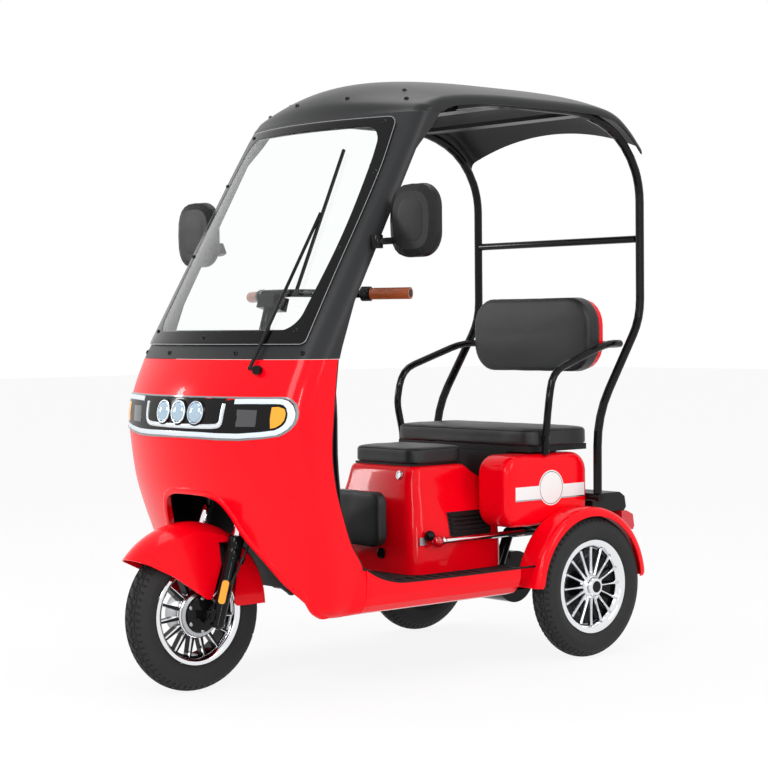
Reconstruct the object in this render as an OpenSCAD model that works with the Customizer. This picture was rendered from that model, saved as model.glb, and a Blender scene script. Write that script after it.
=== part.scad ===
// Electric tricycle with a screen, a roof and two seats.
// Millimetres. +Z is up, the front faces -Y, and the origin lies on the ground
// in the middle of the vehicle's outer box. Inside at_axle(), Y is counted
// rearward from the front axle.

/* [Wheels] */
// Distance between the front and the rear axle
wheelbase = 1146; // [1100:1:1200]
// Outer radius of the tyres
tyre_r = 208; // [204:1:212]
// Width of the tyres at their widest
tyre_w = 82; // [76:1:86]
// Height of the tyres' side walls above the rim flanges
wall_h = 71; // [68:1:74]
// Middle of each rear tyre from the centre line
track_half = 363; // [360:1:370]
// Spokes in each rear wheel
rear_spokes = 16; // [10:1:20]
// Spokes in the front wheel
front_spokes = 15; // [10:1:18]

/* [Steering] */
// Angle of the steering axis from the vertical
rake = 16.5; // [14:0.5:19]
// Distance of the front axle ahead of the steering axis, along Y
fork_offset = 30; // [26:1:34]
// Middle of each fork leg from the centre line
leg_x = 80; // [78:1:86]
// Half width of the handlebar at the grip ends
bar_half = 350; // [330:1:360]
// Height of the handlebar above the ground
bar_z = 1057; // [1040:1:1070]

/* [Body] */
// Half width of the red front shield
shield_half = 385; // [380:1:392]
// Wall thickness of the moulded panels
panel_t = 5; // [4:0.5:6]
// Radius of the shield's front face in plan
face_r = 838; // [800:1:900]
// Height of the seam between the red shield and the dark screen frame
seam_z = 885; // [875:1:895]
// Height of the floor board's top
floor_z = 268; // [262:1:274]
// Wall thickness of the screen glass
glass_t = 4; // [3:0.5:5]

/* [Roof] */
// Height of the roof's crown
roof_z = 1674; // [1660:1:1700]
// Half width of the roof panel
roof_half = 368; // [360:1:376]
// Radius of the roof tubes
tube_r = 13; // [12:0.5:14]
// Middle of the roof posts from the centre line
post_x = 347; // [340:1:350]
// Height of the cross bar between the posts
bar_height = 1224; // [1150:1:1300]

/* [Seats] */
// Height of the driver's seat base
seat_z = 571; // [565:1:580]
// Thickness of the driver's seat cushion
seat_h = 56; // [45:1:62]
// Height of the rear bench's base
bench_z = 618; // [612:1:626]
// Thickness of the rear bench cushion
bench_h = 56; // [45:1:62]
// Half width of the rear bench
bench_half = 298; // [280:1:304]
// Angle at which the driver's seat stands fully open
seat_open = 70; // [40:1:80]

/* [Hidden] */
$fn = 48;

post_y = 1408;
front_reach = tyre_r;
shift = wheelbase - 1146;
rear_reach = post_y + shift + tube_r;
front_axle_y = (front_reach - rear_reach) / 2;
gap = 0.3;
fit = 0.05;
flange_r = tyre_r - wall_h;
bead_r = flange_r - 12.2;
barrel_r = flange_r - 24;
axle_r = 8;
stub_r = 12;
steerer_r = 15;
rear_y = wheelbase;
head_from = 346;
head_to = 490;
head_r = 26;
crown_top = head_from - 0.4;
stem_top = 845;
leg_r = 18;
rear_tube_y = 1216;
rear_tube_z = 460;
rear_tube_r = 12;
seat_hinge_y = 885;
seat_hinge_z = 570;
hinge_r = 4;
pad_hinge_y = 611;
pad_hinge_z = 484;
pad_pin_r = 4;
pad_fold = 90;
box_in_x = 196;
bar_r = 11;

module at_axle() { translate([0, front_axle_y, 0]) children(); }
// What stands behind the footwell keeps its place from the rear axle
module at_rear() { translate([0, front_axle_y + shift, 0]) children(); }

module both_sides() {
    children();
    mirror([1, 0, 0]) children();
}

// Steering frame: +Z runs up the steering axis from axle height
module on_steering() {
    translate([0, fork_offset, tyre_r]) rotate([-rake, 0, 0]) children();
}

// Index of the table row below key k
function row_of(t, k, i = 0) =
    i >= len(t) - 2 || k <= t[i + 1][0] ? i : row_of(t, k, i + 1);

// Slope of column c at row i
function row_slope(t, i, c) =
    let(a = max(i - 1, 0), b = min(i + 1, len(t) - 1))
    (t[b][c] - t[a][c]) / (t[b][0] - t[a][0]);

// Smooth value of column c at key k
function at(t, k, c = 1) =
    let(i = row_of(t, k), h = t[i + 1][0] - t[i][0], u = (k - t[i][0]) / h)
    t[i][c] * (1 + 2 * u) * (1 - u) * (1 - u)
    + row_slope(t, i, c) * h * u * (1 - u) * (1 - u)
    + t[i + 1][c] * u * u * (3 - 2 * u)
    + row_slope(t, i + 1, c) * h * u * u * (u - 1);

function mix(a, b, u) = a + (b - a) * u;
function reversed(v) = [for (i = [len(v) - 1 : -1 : 0]) v[i]];
function unit(v) = v / norm(v);

// Closed skin through rings that all have the same number of points, wall marks a thin shell
module skin(rings, wall = false) {
    n = len(rings[0]);
    last = (len(rings) - 1) * n;
    polyhedron(
        points = [for (ring = rings) each ring],
        faces = concat(
            wall ? wall_end(0, n, false) : [[for (i = [0 : n - 1]) i]],
            [for (j = [0 : len(rings) - 2], i = [0 : n - 1])
                let(a = j * n + i, b = j * n + (i + 1) % n)
                each [[b + n, b, a], [a + n, b + n, a]]],
            wall ? wall_end(last, n, true) : [[for (i = [n - 1 : -1 : 0]) last + i]]));
}

// End face of a thin wall, whose ring runs out along one side and back along the other
function wall_end(from, n, flip) = [for (i = [0 : n / 2 - 2])
    let(a = from + i, b = a + 1, c = from + n - 2 - i, d = c + 1)
    each (flip ? [[c, b, a], [d, c, a]] : [[a, b, c], [a, c, d]])];

// Path with its corners rounded: each corner is [x, y, z, bend length]
function rounded(path, steps = 4) = [
    for (i = [0 : len(path) - 1])
        let(p = path[i], c = [p[0], p[1], p[2]], d = p[3])
        each (i == 0 || i == len(path) - 1 || d == 0 ? [c] :
            let(a = path[i - 1], b = path[i + 1],
                from = c + unit([a[0], a[1], a[2]] - c) * d,
                to = c + unit([b[0], b[1], b[2]] - c) * d)
            [for (s = [0 : steps]) let(u = s / steps)
                from * (1 - u) * (1 - u) + c * 2 * u * (1 - u) + to * u * u])];

// Round tube swept along a path, side is a direction never along the path
module swept(path, r, side = [1, 0, 0], sides = 12) {
    pts = rounded(path);
    skin([for (i = [0 : len(pts) - 1])
        let(t = unit(pts[min(i + 1, len(pts) - 1)] - pts[max(i - 1, 0)]),
            u = unit(cross(t, side)), v = cross(u, t))
        [for (k = [0 : sides - 1]) let(a = -360 * k / sides)
            pts[i] + r * (cos(a) * u + sin(a) * v)]]);
}

// Half plan curve of the cowl from angle start to 90 degrees and back to yb
function cowl_half(y0, w, rc, start, yb, t, big = face_r) =
    let(xc = w - rc, turn = asin(xc / (big - rc)),
        yc = y0 + big - (big - rc) * cos(turn),
        knee = max(turn, start + 6))
    concat(
        [for (i = [0 : 4]) let(a = mix(start, knee, i / 5)) cowl_at(a, y0, xc, yc, rc, turn, t, big)],
        [for (i = [0 : 5]) let(a = mix(knee, 90, i / 5)) cowl_at(a, y0, xc, yc, rc, turn, t, big)],
        [[w - t, max(yb, yc + 1)]]);

function cowl_at(a, y0, xc, yc, rc, turn, t, big) = a < turn
    ? [sin(a) * (big - t), y0 + big - cos(a) * (big - t)]
    : [xc + sin(a) * (rc - t), yc - cos(a) * (rc - t)];

// Angle on the cowl's plan curve at which it reaches x
function cowl_angle(x, w, rc, big = face_r) =
    let(xc = w - rc, turn = asin(xc / (big - rc)))
    x <= big * sin(turn) ? asin(x / big) : asin(min((x - xc) / rc, 0.999));

// Front shield by height: height, front of the face, half width, corner radius, rear edge
SHIELD = [
    [205, 130, 322, 60, 250], [222, 108, 338, 66, 256], [250, 92, 350, 74, 264],
    [300, 72, 362, 82, 274], [331, 62, 368, 86, 285], [400, 37, 377, 90, 238],
    [468, 11, 383, 90, 208], [547, -15, 385, 90, 182], [638, -31, 385, 90, 170],
    [728, -38, 385, 90, 175], [800, -21, 385, 90, 182], [seam_z, 16, 385, 90, 192]];
// Half width of the wheel arch by height
ARCH = [[205, 316], [252, 312], [269, 300], [310, 262], [376, 215], [428, 178],
    [479, 158], [512, 138], [533, 100], [540, 40]];
arch_top = 540;
// Screen frame by height: height, front of the face, half width, corner radius, rear edge
SCREEN = [[seam_z, 17, 385, 90, 198], [926, 42, 384, 88, 212], [1129, 165, 380, 78, 293],
    [1261, 245, 377, 70, 364], [1410, 335, 373, 64, 455], [1508, 394, 370, 60, 545],
    [1545, 417, 368, 58, 575]];
// Half width of the screen opening by height
GLASS = [[932, 345], [1100, 340], [1300, 332], [1530, 314]];
glass_low = 932;
glass_high = 1530;
// Roof along its centre line: place, y, z, angle of the drop, depth, radius across, edge radius
ROOF = [
    [0, 418, 1545.5, 0, 157, 838, 58], [1, 446, 1589, 16, 143, 850, 54],
    [2, 492, 1624, 38, 122, 880, 46], [3, 560, 1651, 60, 104, 930, 38],
    [4, 660 + shift / 4, roof_z - 8, 78, 93, 980, 32], [5, 800 + shift / 2, roof_z - 1, 89, 88, 1000, 30],
    [6, 960 + shift, roof_z, 90, 86, 1000, 30], [7, 1120 + shift, roof_z - 1, 92, 84, 1000, 30],
    [8, 1230 + shift, roof_z - 7, 94, 82, 1000, 30], [9, 1300 + shift, roof_z - 24, 95, 82, 1000, 30],
    [10, 1352 + shift, roof_z - 60, 93, 82, 1000, 30], [11, 1396 + shift, roof_z - 107, 90, 82, 1000, 30]];

shield_levels = [205, 222, 250, 275, 300, 331, 365, 400, 434, 468, 508, 532, arch_top,
    arch_top + 1, 590, 638, 683, 728, 764, 800, 842, seam_z];

module shield_half() {
    skin([for (z = shield_levels)
        let(y0 = at(SHIELD, z, 1), w = at(SHIELD, z, 2), rc = at(SHIELD, z, 3), yb = at(SHIELD, z, 4),
            start = z > arch_top ? 0 : cowl_angle(at(ARCH, z), w, rc),
            outer = cowl_half(y0, w, rc, start, yb, 0),
            inner = cowl_half(y0, w, rc, start, yb, panel_t))
        [for (p = concat(outer, reversed(inner))) [p[0], p[1], z]]], wall = true);
}

// Outline of the headlamp opening, seen from the front
lamp_z0 = 676;
lamp_z1 = 784;
lamp_half = 374;
module lamp_outline(grow = 0) {
    polygon([[-lamp_half - grow, lamp_z1 + grow], [-lamp_half - grow, lamp_z0 + 22 - grow],
        [-lamp_half + 60, lamp_z0 - grow], [lamp_half - 60, lamp_z0 - grow],
        [lamp_half + grow, lamp_z0 + 22 - grow], [lamp_half + grow, lamp_z1 + grow]]);
}
module lamp_prism(from, to, grow = 0) {
    translate([0, to, 0]) rotate([90, 0, 0]) linear_extrude(to - from) lamp_outline(grow);
}

module front_shield() {
    color("red") at_axle() difference() {
        both_sides() shield_half();
        lamp_prism(-80, 70);
    }
}

// Side skirts run from the shield's seam to the rear boxes
skirt_front = 290;
skirt_rear = 862 + shift;
module skirts() {
    color("red") at_axle() both_sides() {
        translate([0, skirt_rear, 0]) rotate([90, 0, 0]) linear_extrude(skirt_rear - skirt_front)
            polygon([[322, 206], [350, 214], [368, 232], [377, 256], [379, 284], [379 - panel_t, 284],
                [372, 258], [364, 238], [348, 220], [322, 212]]);
        translate([379 - panel_t, 0, 0]) rotate([90, 0, 90]) linear_extrude(panel_t)
            polygon([[skirt_front, 283], [skirt_front, 330], [318, 314], [346, 301], [388, 290],
                [430, 284], [430, 283]]);
    }
}

// Knee panel behind the shield, from the floor up, by height: height, rear face
LINER = [[floor_z, 352], [300, 318], [331, 292], [400, 252], [468, 230], [547, 216], [638, 209],
    [728, 209], [800, 205], [880, 196]];
module shield_liner() {
    levels = [268, 284, 300, 331, 365, 400, 434, 468, 508, 547, 592, 638, 683, 728, 764, 800, 840, 880];
    half = 361;
    color("#2b2c2f") at_axle() difference() {
        rotate([90, 0, 90]) linear_extrude(2 * half, center = true)
            polygon(concat([for (z = levels) [at(LINER, z), z]],
                [for (z = reversed(levels)) [at(LINER, z) - panel_t, z]]));
        on_steering() translate([0, 0, head_to + 5]) cylinder(r = 34, h = 400);
    }
}

// Splash panel over and behind the front wheel, by distance behind the axle: [y, z] of its lower face
WELL = [[-30, 574], [40, 574], [110, 573], [160, 566], [187, 542], [197, 500], [202, 450], [208, 400],
    [226, 340], [246, 290], [258, 256]];
module wheel_well() {
    plan = cowl_half(-12, 378, 84, 0, 300, 0);
    color("#1b1b1d") at_axle() difference() {
        intersection() {
            rotate([90, 0, 90]) linear_extrude(740, center = true)
                polygon(concat(WELL, [for (p = reversed(WELL))
                    p + 3.2 * (p[1] < 500 ? [1, 0.3] : [0.4, 1])]));
            linear_extrude(900)
                polygon([for (side = [-1, 1]) each [for (p = side < 0 ? reversed(plan) : plan)
                    [side * p[0] * 0.9, p[1]]]]);
        }
        on_steering() cylinder(r = head_r + gap, h = 600);
        translate([-16.5, 140, 405]) cube([33, 110, 200]);
    }
}

// Floor board with a ribbed foot mat on each side of the battery box
board_front = 356;
board_side = 862 + shift;
board_rear = 984 + shift;
board_half = 370;
module floor_board() {
    color("#1d1d1f") at_axle() {
        translate([-board_half, board_front, floor_z - 14])
            cube([2 * board_half, board_side - board_front, 14]);
        translate([-300, board_side - 1, floor_z - 14]) cube([600, board_rear - board_side + 1, 14]);
        both_sides() for (y = [board_front + 16 : 40 : board_side - 20])
            translate([212, y, floor_z]) cube([140, 16, 3]);
    }
}

module headlamp() {
    color("#141416") at_axle() difference() {
        intersection() {
            lamp_prism(-75, 65, -0.6);
            both_sides() skin([for (z = [660, 690, 730, 770, 800])
                let(y0 = at(SHIELD, z, 1) - 8)
                [for (p = concat(cowl_half(y0, 385, 90, 0, y0 + 152, 0),
                    reversed(cowl_half(y0, 385, 90, 0, y0 + 152, 40)))) [p[0], p[1], z]]], wall = true);
        }
        for (x = [-75, 0, 75]) translate([x, 20, 748]) rotate([90, 0, 0])
            cylinder(r = 31, h = 100);
    }
}

module headlamp_lenses() {
    color("#dfe8ee") at_axle() for (x = [-75, 0, 75])
        translate([x, 10, 748]) rotate([90, 0, 0]) {
            cylinder(r = 30.6, h = 22);
            translate([0, 0, 22]) scale([1, 1, 0.4]) sphere(r = 30.6);
        }
}

screen_levels = [seam_z + 0.5, 908, 932, 960, 1000, 1060, 1129, 1200, 1261, 1340, 1410, 1470,
    1508, 1530, 1545];
glass_levels = [glass_low, 960, 1000, 1060, 1129, 1200, 1261, 1340, 1410, 1470, 1508, glass_high];

function screen_ring(z, t) =
    let(y0 = at(SCREEN, z, 1), w = at(SCREEN, z, 2), rc = at(SCREEN, z, 3), yb = at(SCREEN, z, 4))
    [for (p = concat(cowl_half(y0, w, rc, 0, yb, 0), reversed(cowl_half(y0, w, rc, 0, yb, t))))
        [p[0], p[1], z]];

module windscreen_frame() {
    color("#232427") at_axle() difference() {
        both_sides() skin([for (z = screen_levels) screen_ring(z, panel_t + 1)], wall = true);
        translate([0, 700, 0]) rotate([90, 0, 0]) linear_extrude(720)
            polygon(concat([for (z = glass_levels) [at(GLASS, z), z]],
                [for (z = reversed(glass_levels)) [-at(GLASS, z), z]]));
    }
}

module windscreen() {
    last = len(glass_levels) - 1;
    color("#9fb4bd", 0.4) at_axle()
        skin([for (i = [0 : last])
            let(z = glass_levels[i] + (i == 0 ? 0.4 : (i == last ? -0.4 : 0)),
                y0 = at(SCREEN, z, 1), w = at(GLASS, z) - 0.5)
            [for (s = [0, 1]) each [for (i = [-10 : 10])
                let(x = (s == 0 ? i : -i) / 10 * w, r = face_r - 0.5 - s * glass_t)
                [x, y0 + face_r - sqrt(r * r - x * x), z]]]], wall = true);
}

// Point on the roof skin: row along the roof, sideways place, and depth below the skin
function roof_ring(k, t) =
    let(y = at(ROOF, k, 1), z = at(ROOF, k, 2), b = at(ROOF, k, 3), depth = at(ROOF, k, 4),
        line = cowl_half(0, roof_half, at(ROOF, k, 6), 0, depth, t, at(ROOF, k, 5)))
    [for (p = line) [p[0], y + p[1] * cos(b), z - p[1] * sin(b)]];

module roof_panel() {
    color("#202123") at_axle() both_sides()
        skin([for (k = [0 : 0.5 : 11]) concat(roof_ring(k, 0), reversed(roof_ring(k, panel_t)))],
            wall = true);
}

// Rails under the panel's edges and the posts behind, one bent tube a side
rail_z = roof_z - 84;
module roof_tubes() {
    color("#151515") at_axle() both_sides() swept([
        [post_x, 650 + shift / 4, rail_z - 20, 0], [post_x, 780 + shift / 2, rail_z, 60],
        [post_x, 1190 + shift, rail_z - 4, 90],
        [post_x, 1352 + shift, 1508, 90], [post_x, post_y + shift, 1385, 50], [post_x, post_y + shift, 985, 60],
        [post_x, 1217 + shift, 700, 90],
        [post_x, rear_tube_y + shift, rear_tube_z + rear_tube_r + gap, 0]], tube_r);
}

module cross_bar() {
    color("#151515") at_rear() translate([0, post_y, bar_height]) rotate([0, 90, 0])
        cylinder(r = bar_r, h = 2 * (post_x - tube_r - gap), center = true);
}

// Flat cross members between the rails
module roof_braces() {
    half = post_x - tube_r - gap;
    color("#38393d") at_axle() for (y = [780 + shift / 2, 1130 + shift])
        translate([-half, y, rail_z - 14]) cube([2 * half, 60, 12]);
}

module mirrors() {
    color("#161617") at_axle() both_sides() {
        skin([for (y = [398, 385, 370, 362])
            let(s = y == 362 ? 0.8 : (y == 398 ? 0.94 : 1))
            [for (i = [0 : 23]) let(a = 360 * i / 24, c = cos(a), d = sin(a))
                [479 + s * 88 * sign(c) * pow(abs(c), 0.7), y, 1243 + s * 95 * sign(d) * pow(abs(d), 0.7)]]]);
        swept([[378.8, 325, 1190, 0], [400, 325, 1190, 12], [412, 418, 1196, 20], [450, 407.6, 1225, 0]], 9,
            side = [0, 0, 1]);
    }
}

// Battery box by height: height, front, rear, half width, corner radius
BOX = [[floor_z, 618, 980, 200, 46], [330, 622, 980, 198, 44], [400, 630, 980, 188, 42],
    [470, 646, 976, 168, 40], [512, 656, 962, 154, 36], [545, 664, 910, 148, 34], [568, 670, 880, 143, 30]];

// Rounded rectangle in plan: front, rear, half width, corner radius, height, points a corner
function plan_ring(y0, y1, w, r, z, n = 4) = [
    for (q = [0 : 3], i = [0 : n])
        let(a = 90 * q + 90 * i / n,
            cx = (q == 0 || q == 3 ? 1 : -1) * (w - r), cy = q < 2 ? y1 - r : y0 + r)
        [cx + r * cos(a), cy + r * sin(a), z]];

module battery_box() {
    color("red") at_rear() difference() {
        skin(reversed([for (z = [568, 545, 512, 470, 435, 400, 365, 330, 290, floor_z + gap])
            plan_ring(at(BOX, z, 1), at(BOX, z, 2), at(BOX, z, 3), at(BOX, z, 4), z)]));
        translate([-118, 692, 300]) cube([236, 168, 300]);
    }
    // Knuckles of the seat's hinge
    color("red") at_rear() both_sides() {
        translate([50 + gap, seat_hinge_y, seat_hinge_z]) rotate([0, 90, 0]) cylinder(r = hinge_r, h = 24);
        translate([50 + gap, 872, seat_hinge_z - 10]) cube([24, seat_hinge_y - 872, 11]);
    }
}

// Louvre slats on both flanks of the battery box
module vents() {
    color("#101010") at_rear() both_sides() for (i = [0 : 4])
        let(z = 376 + i * 12) translate([at(BOX, z, 3) + gap, 770, z]) cube([5, 150, 6]);
}

module rear_base() {
    half = box_in_x - gap;
    color("#18181a") at_rear() translate([-half, 990, 382 + gap])
        cube([2 * half, 1199.5 - 990, bench_z - 18 - gap - 382 - gap]);
}

module side_boxes() {
    color("red") at_rear() both_sides() skin([for (x = [box_in_x, 296, 308, 315])
        let(in = x == 315 ? 14 : (x == 308 ? 4 : 0))
        [for (p = plan_ring(388 + in, 595 - in, 185 - in, 50, 0))
            [x, 1015 + p[0], p[1]]]]);
}

module bench_plate() {
    color("#121212") at_rear() translate([-bench_half + 12, 998, bench_z - 18])
        cube([2 * bench_half - 24, 236, 17.7]);
}

// Soft pad: rounded in plan, crowned on top
module cushion(y0, y1, w, r, z, h) {
    skin(reversed([for (s = [[1, 8], [0.86, 1], [0.3, 0], [0, 4]])
        plan_ring(y0 + s[1], y1 - s[1], w - s[1], r - s[1], z + s[0] * h, 6)]));
}

module bench_cushion() {
    color("#1a1a1b") at_rear() cushion(990, 1244, bench_half, 46, bench_z, bench_h);
}

module backrest_pad() {
    color("#1c1c1d") at_rear() skin([for (s = [[1280, 12], [1286, 3], [1300, 0], [1338, 0]])
        [for (p = plan_ring(826 + s[1], 1052 - s[1], 248 - s[1], 84 - s[1], 0, 6)) [-p[0], s[0], p[1]]]]);
}

module backrest_shell() {
    color("red") at_rear() skin([for (s = [[1338.3, 2], [1356, 4], [1366, 20]])
        [for (p = plan_ring(828 + s[1], 1050 - s[1], 248 - s[1], 84 - s[1], 0, 6)) [-p[0], s[0], p[1]]]]);
}

module armrests() {
    color("#151515") at_rear() both_sides() swept([
        [309.8, 1036, 594.5, 0], [309.8, 1036, 636, 16], [328, 1029, 731, 30], [325, 1050, 832, 50],
        [314, 1309, 916, 60], [300, 1377.5, 910, 22], [150, 1377.5, 905, 0]], 11, side = [0.35, 0.1, 1]);
}

fender_r = 232;
fender_y = rear_y - 8;
module rear_fenders() {
    color("red") at_axle() both_sides() translate([315 + gap, fender_y, tyre_r]) difference() {
        rotate([0, 90, 0]) cylinder(r = fender_r, h = 90, $fn = 72);
        translate([-1, 0, 0]) rotate([0, 90, 0]) cylinder(r = fender_r - panel_t, h = 100, $fn = 72);
        translate([-5, -300, -300]) cube([200, 600, 314]);
    }
}

module tail_lamps() {
    color("#b00010") at_rear() both_sides() translate([268, 1352, 350]) rotate([90, 0, 90])
        linear_extrude(52) polygon([[0, 4], [50, 0], [56, 10], [50, 46], [20, 60 - gap], [0, 60 - gap]]);
}

// Black tail deck behind the rear tube
module tail_piece() {
    front = rear_tube_y + 16 + gap;
    color("#17181a") at_rear() rotate([90, 0, 90]) linear_extrude(2 * 312, center = true)
        polygon([[front, 410], [1372, 410], [1380, 420], [1374, 452], [1352, 466], [front, 466]]);
}

module rear_axle() {
    color("#1b1b1c") at_axle() {
        translate([0, rear_y, tyre_r]) rotate([0, 90, 0]) {
            cylinder(r = 26, h = 560, center = true);
            cylinder(r = 78, h = 150, center = true);
            cylinder(r = stub_r, h = 2 * (track_half + 22), center = true);
        }
        both_sides() translate([190, rear_y, tyre_r]) {
            translate([-14, 933.4 + shift - rear_y, -16]) cube([28, rear_y - 933.4 - shift, 24]);
        }
    }
}

// Coil springs round their dampers, from the axle up to the frame's cross tube
module springs() {
    lean = 16.5;
    coils = 8;
    pitch = 13;
    color("#b3121a") at_axle() both_sides() translate([230, rear_y - 6, tyre_r + 27]) rotate([lean, 0, 0])
        rotate_extrude() {
            translate([0, -1.3]) square([12, 131.6]);
            translate([0, 8]) square([24, coils * pitch + 6]);
            for (i = [0 : coils - 1]) translate([24, 17.5 + i * pitch]) circle(r = 4.5);
        }
}

// Straight round tube between two points
module link(a, b, r) {
    d = b - a;
    translate(a) rotate([0, acos(d[2] / norm(d)), atan2(d[1], d[0])]) cylinder(r = r, h = norm(d));
}

// Welded run of tube: straight lengths with a slightly larger ball at each joint
module run(points, r) {
    for (i = [0 : len(points) - 2]) link(points[i], points[i + 1], r);
    for (i = [1 : len(points) - 2]) translate(points[i]) sphere(r = r + 1);
}

rail_low = floor_z - 14 - gap - 16;
module chassis() {
    color("#1b1b1c") at_axle() {
        difference() {
            union() {
                on_steering() translate([0, 0, head_from]) cylinder(r = head_r, h = head_to - head_from);
                run([[0, 160, 590], [0, 205.2, 470], [0, 253.9, 331], [0, 288, 272], [0, 338, rail_low],
                    [0, 400, rail_low]], 15);
            }
            on_steering() cylinder(r = steerer_r + fit, h = 700);
        }
        link([-150, 400, rail_low], [150, 400, rail_low], 15.5);
        link([-204, 920 + shift, 211], [204, 920 + shift, 211], 13);
        both_sides() run([[130, 400, rail_low], [130, 1012 + shift, rail_low], [130, 1062 + shift, 352],
            [130, rear_tube_y + shift, 352], [130, rear_tube_y + shift, rear_tube_z]], 16);
        link([-245, 1108 + shift, 372], [245, 1108 + shift, 372], 10);
        translate([0, rear_tube_y + shift, rear_tube_z]) rotate([0, 90, 0])
            cylinder(r = rear_tube_r, h = 2 * (post_x + tube_r), center = true);
    }
}

module side_lever() {
    color("#c9ccd0") at_rear() {
        translate([222, 700, 362]) rotate([-90, 0, 0]) cylinder(r = 9, h = 330);
        translate([222, 690, 362]) sphere(r = 14);
        translate([at(BOX, 355, 3) + gap, 760, 355]) cube([20, 15, 14]);
    }
}

module gear_lever() {
    color("#141414") at_rear() {
        translate([208, 672, 378]) sphere(r = 13);
        translate([at(BOX, 373, 3) + gap, 672, 378]) rotate([0, 90, 0]) cylinder(r = 5, h = 14);
    }
}

// Front surface of the shield or the screen at a sideways place and a height
function face_y(x, z) = at(z < seam_z ? SHIELD : SCREEN, z) + face_r - sqrt(face_r * face_r - x * x);

// Wiper on the driver's left: motor boss on the shield, arm, clip and blade
module wiper() {
    boss = [251, face_y(251, 858.7) - 4, 858.7];
    clip = [236, face_y(236, 1270) - 23, 1270];
    color("#0d0d0e") at_axle() {
        difference() {
            translate(boss) rotate([90, 0, 17]) cylinder(r = 12, h = 14);
            translate([0, at(SHIELD, 846.7) + face_r, 0]) cylinder(r = face_r + gap, h = 1400, $fn = 360);
        }
        run([boss - [2, 12, -4], [231, face_y(231, 863) - 15, 863], clip], 4.5);
        link([210, face_y(210, 1444) - 16, 1444], [268, face_y(268, 1065) - 18, 1065], 5);
    }
}

// Front fork: legs, crown, steerer with its collar and bar clamp, and the wheel's axle
module fork() {
    slider_top = 150;
    color("#1a1a1b") at_axle() {
        on_steering() {
            translate([0, 0, crown_top - 1]) cylinder(r = steerer_r, h = stem_top - crown_top + 2);
            translate([0, 0, head_to + 0.5]) cylinder(r = 22, h = 12);
            translate([-leg_x, -22, crown_top - 30]) cube([2 * leg_x, 44, 30]);
            both_sides() translate([leg_x, 0, crown_top - 30]) cylinder(r = 22, h = 30);
            translate([-35, -18, stem_top]) cube([70, 52, 38]);
            both_sides() translate([leg_x, 0, -22]) {
                cylinder(r = leg_r, h = slider_top + 22);
                translate([0, 0, slider_top + 22]) cylinder(r = leg_r + 3, h = 38);
                translate([0, 0, slider_top]) cylinder(r = 13.5, h = crown_top - 20 - slider_top + 22);
            }
        }
        translate([0, 0, tyre_r]) rotate([0, 90, 0]) cylinder(r = axle_r, h = 2 * leg_x + 20, center = true);
        both_sides() translate([leg_x - 6, -14, tyre_r - 16]) cube([12, 44, 32]);
        both_sides() translate([leg_x - leg_r - gap - fender_wall - 3.3, 0, 300]) {
            translate([0, 22, 0]) cube([3, 44, 36]);
            translate([0, 56, 0]) cube([14, 10, 36]);
        }
    }
}

module handlebar() {
    color("#171718") at_axle() {
        swept([[-bar_half, 478, bar_z, 0], [-205, 416, bar_z, 12], [-70, 300, bar_z + 4, 40],
            [70, 300, bar_z + 4, 40], [205, 416, bar_z, 12], [bar_half, 478, bar_z, 0]], 11,
            side = [0, 0, 1]);
    }
}

module grips() {
    color("#7a2f12") at_axle() both_sides() translate([bar_half, 478, bar_z])
        rotate([0, 0, 23.2]) rotate([0, -90, 0]) difference() {
            cylinder(r = 16, h = 117);
            translate([0, 0, -1]) cylinder(r = 11.3, h = 140);
        }
}

module controls() {
    color("#101012") at_axle() both_sides() translate([205, 416, bar_z])
        rotate([0, 0, 23.2]) rotate([0, -90, 0]) translate([0, 0, -38]) difference() {
            cylinder(r = 20, h = 24);
            translate([0, 0, -1]) cylinder(r = 11.3, h = 140);
        }
}

// Front fender: a rounded trough on a circle set ahead of the wheel, open below these [y, z] points
front_fender_r = 240;
fender_wall = 3.5;
FENDER_EDGE = [[-300, 415], [-203, 367], [-100, 318], [4, 250], [18, 248], [26, 262], [52, 338],
    [44, 398], [108, 398], [108, 338], [94, 232], [104, 223], [212, 222], [260, 240]];
module fender_profile(t) {
    half = leg_x - leg_r - gap - t;
    intersection() {
        translate([0, -half]) square([front_fender_r, 2 * half]);
        union() {
            translate([0, -half]) square([front_fender_r - 90, 2 * half]);
            translate([front_fender_r - 90, 0]) circle(r = 90 - t);
        }
    }
}
module front_fender() {
    color("red") at_axle() difference() {
        translate([0, -18, tyre_r + 6]) rotate([0, 90, 0]) rotate_extrude($fn = 96) difference() {
            fender_profile(0);
            fender_profile(fender_wall);
        }
        translate([-200, 0, 0]) rotate([90, 0, 90]) linear_extrude(400)
            polygon(concat([[-300, -300]], FENDER_EDGE, [[260, -300]]));
    }
}

// Tyre around X: a ring with an open bead side
module tyre() {
    half = tyre_w / 2;
    middle = tyre_r - half;
    rotate([0, 90, 0]) rotate_extrude($fn = 96) difference() {
        union() {
            translate([bead_r, -27]) square([middle - bead_r, 54]);
            intersection() {
                translate([middle, 0]) circle(r = half);
                translate([bead_r, -60]) square([tyre_r - bead_r, 120]);
            }
        }
        translate([bead_r - 10, -19]) square([middle - bead_r + 9, 38]);
        for (side = [-1, 1]) translate([bead_r - 5, side * 37 - 10]) square([flange_r + gap - bead_r + 5, 20]);
    }
}

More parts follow.
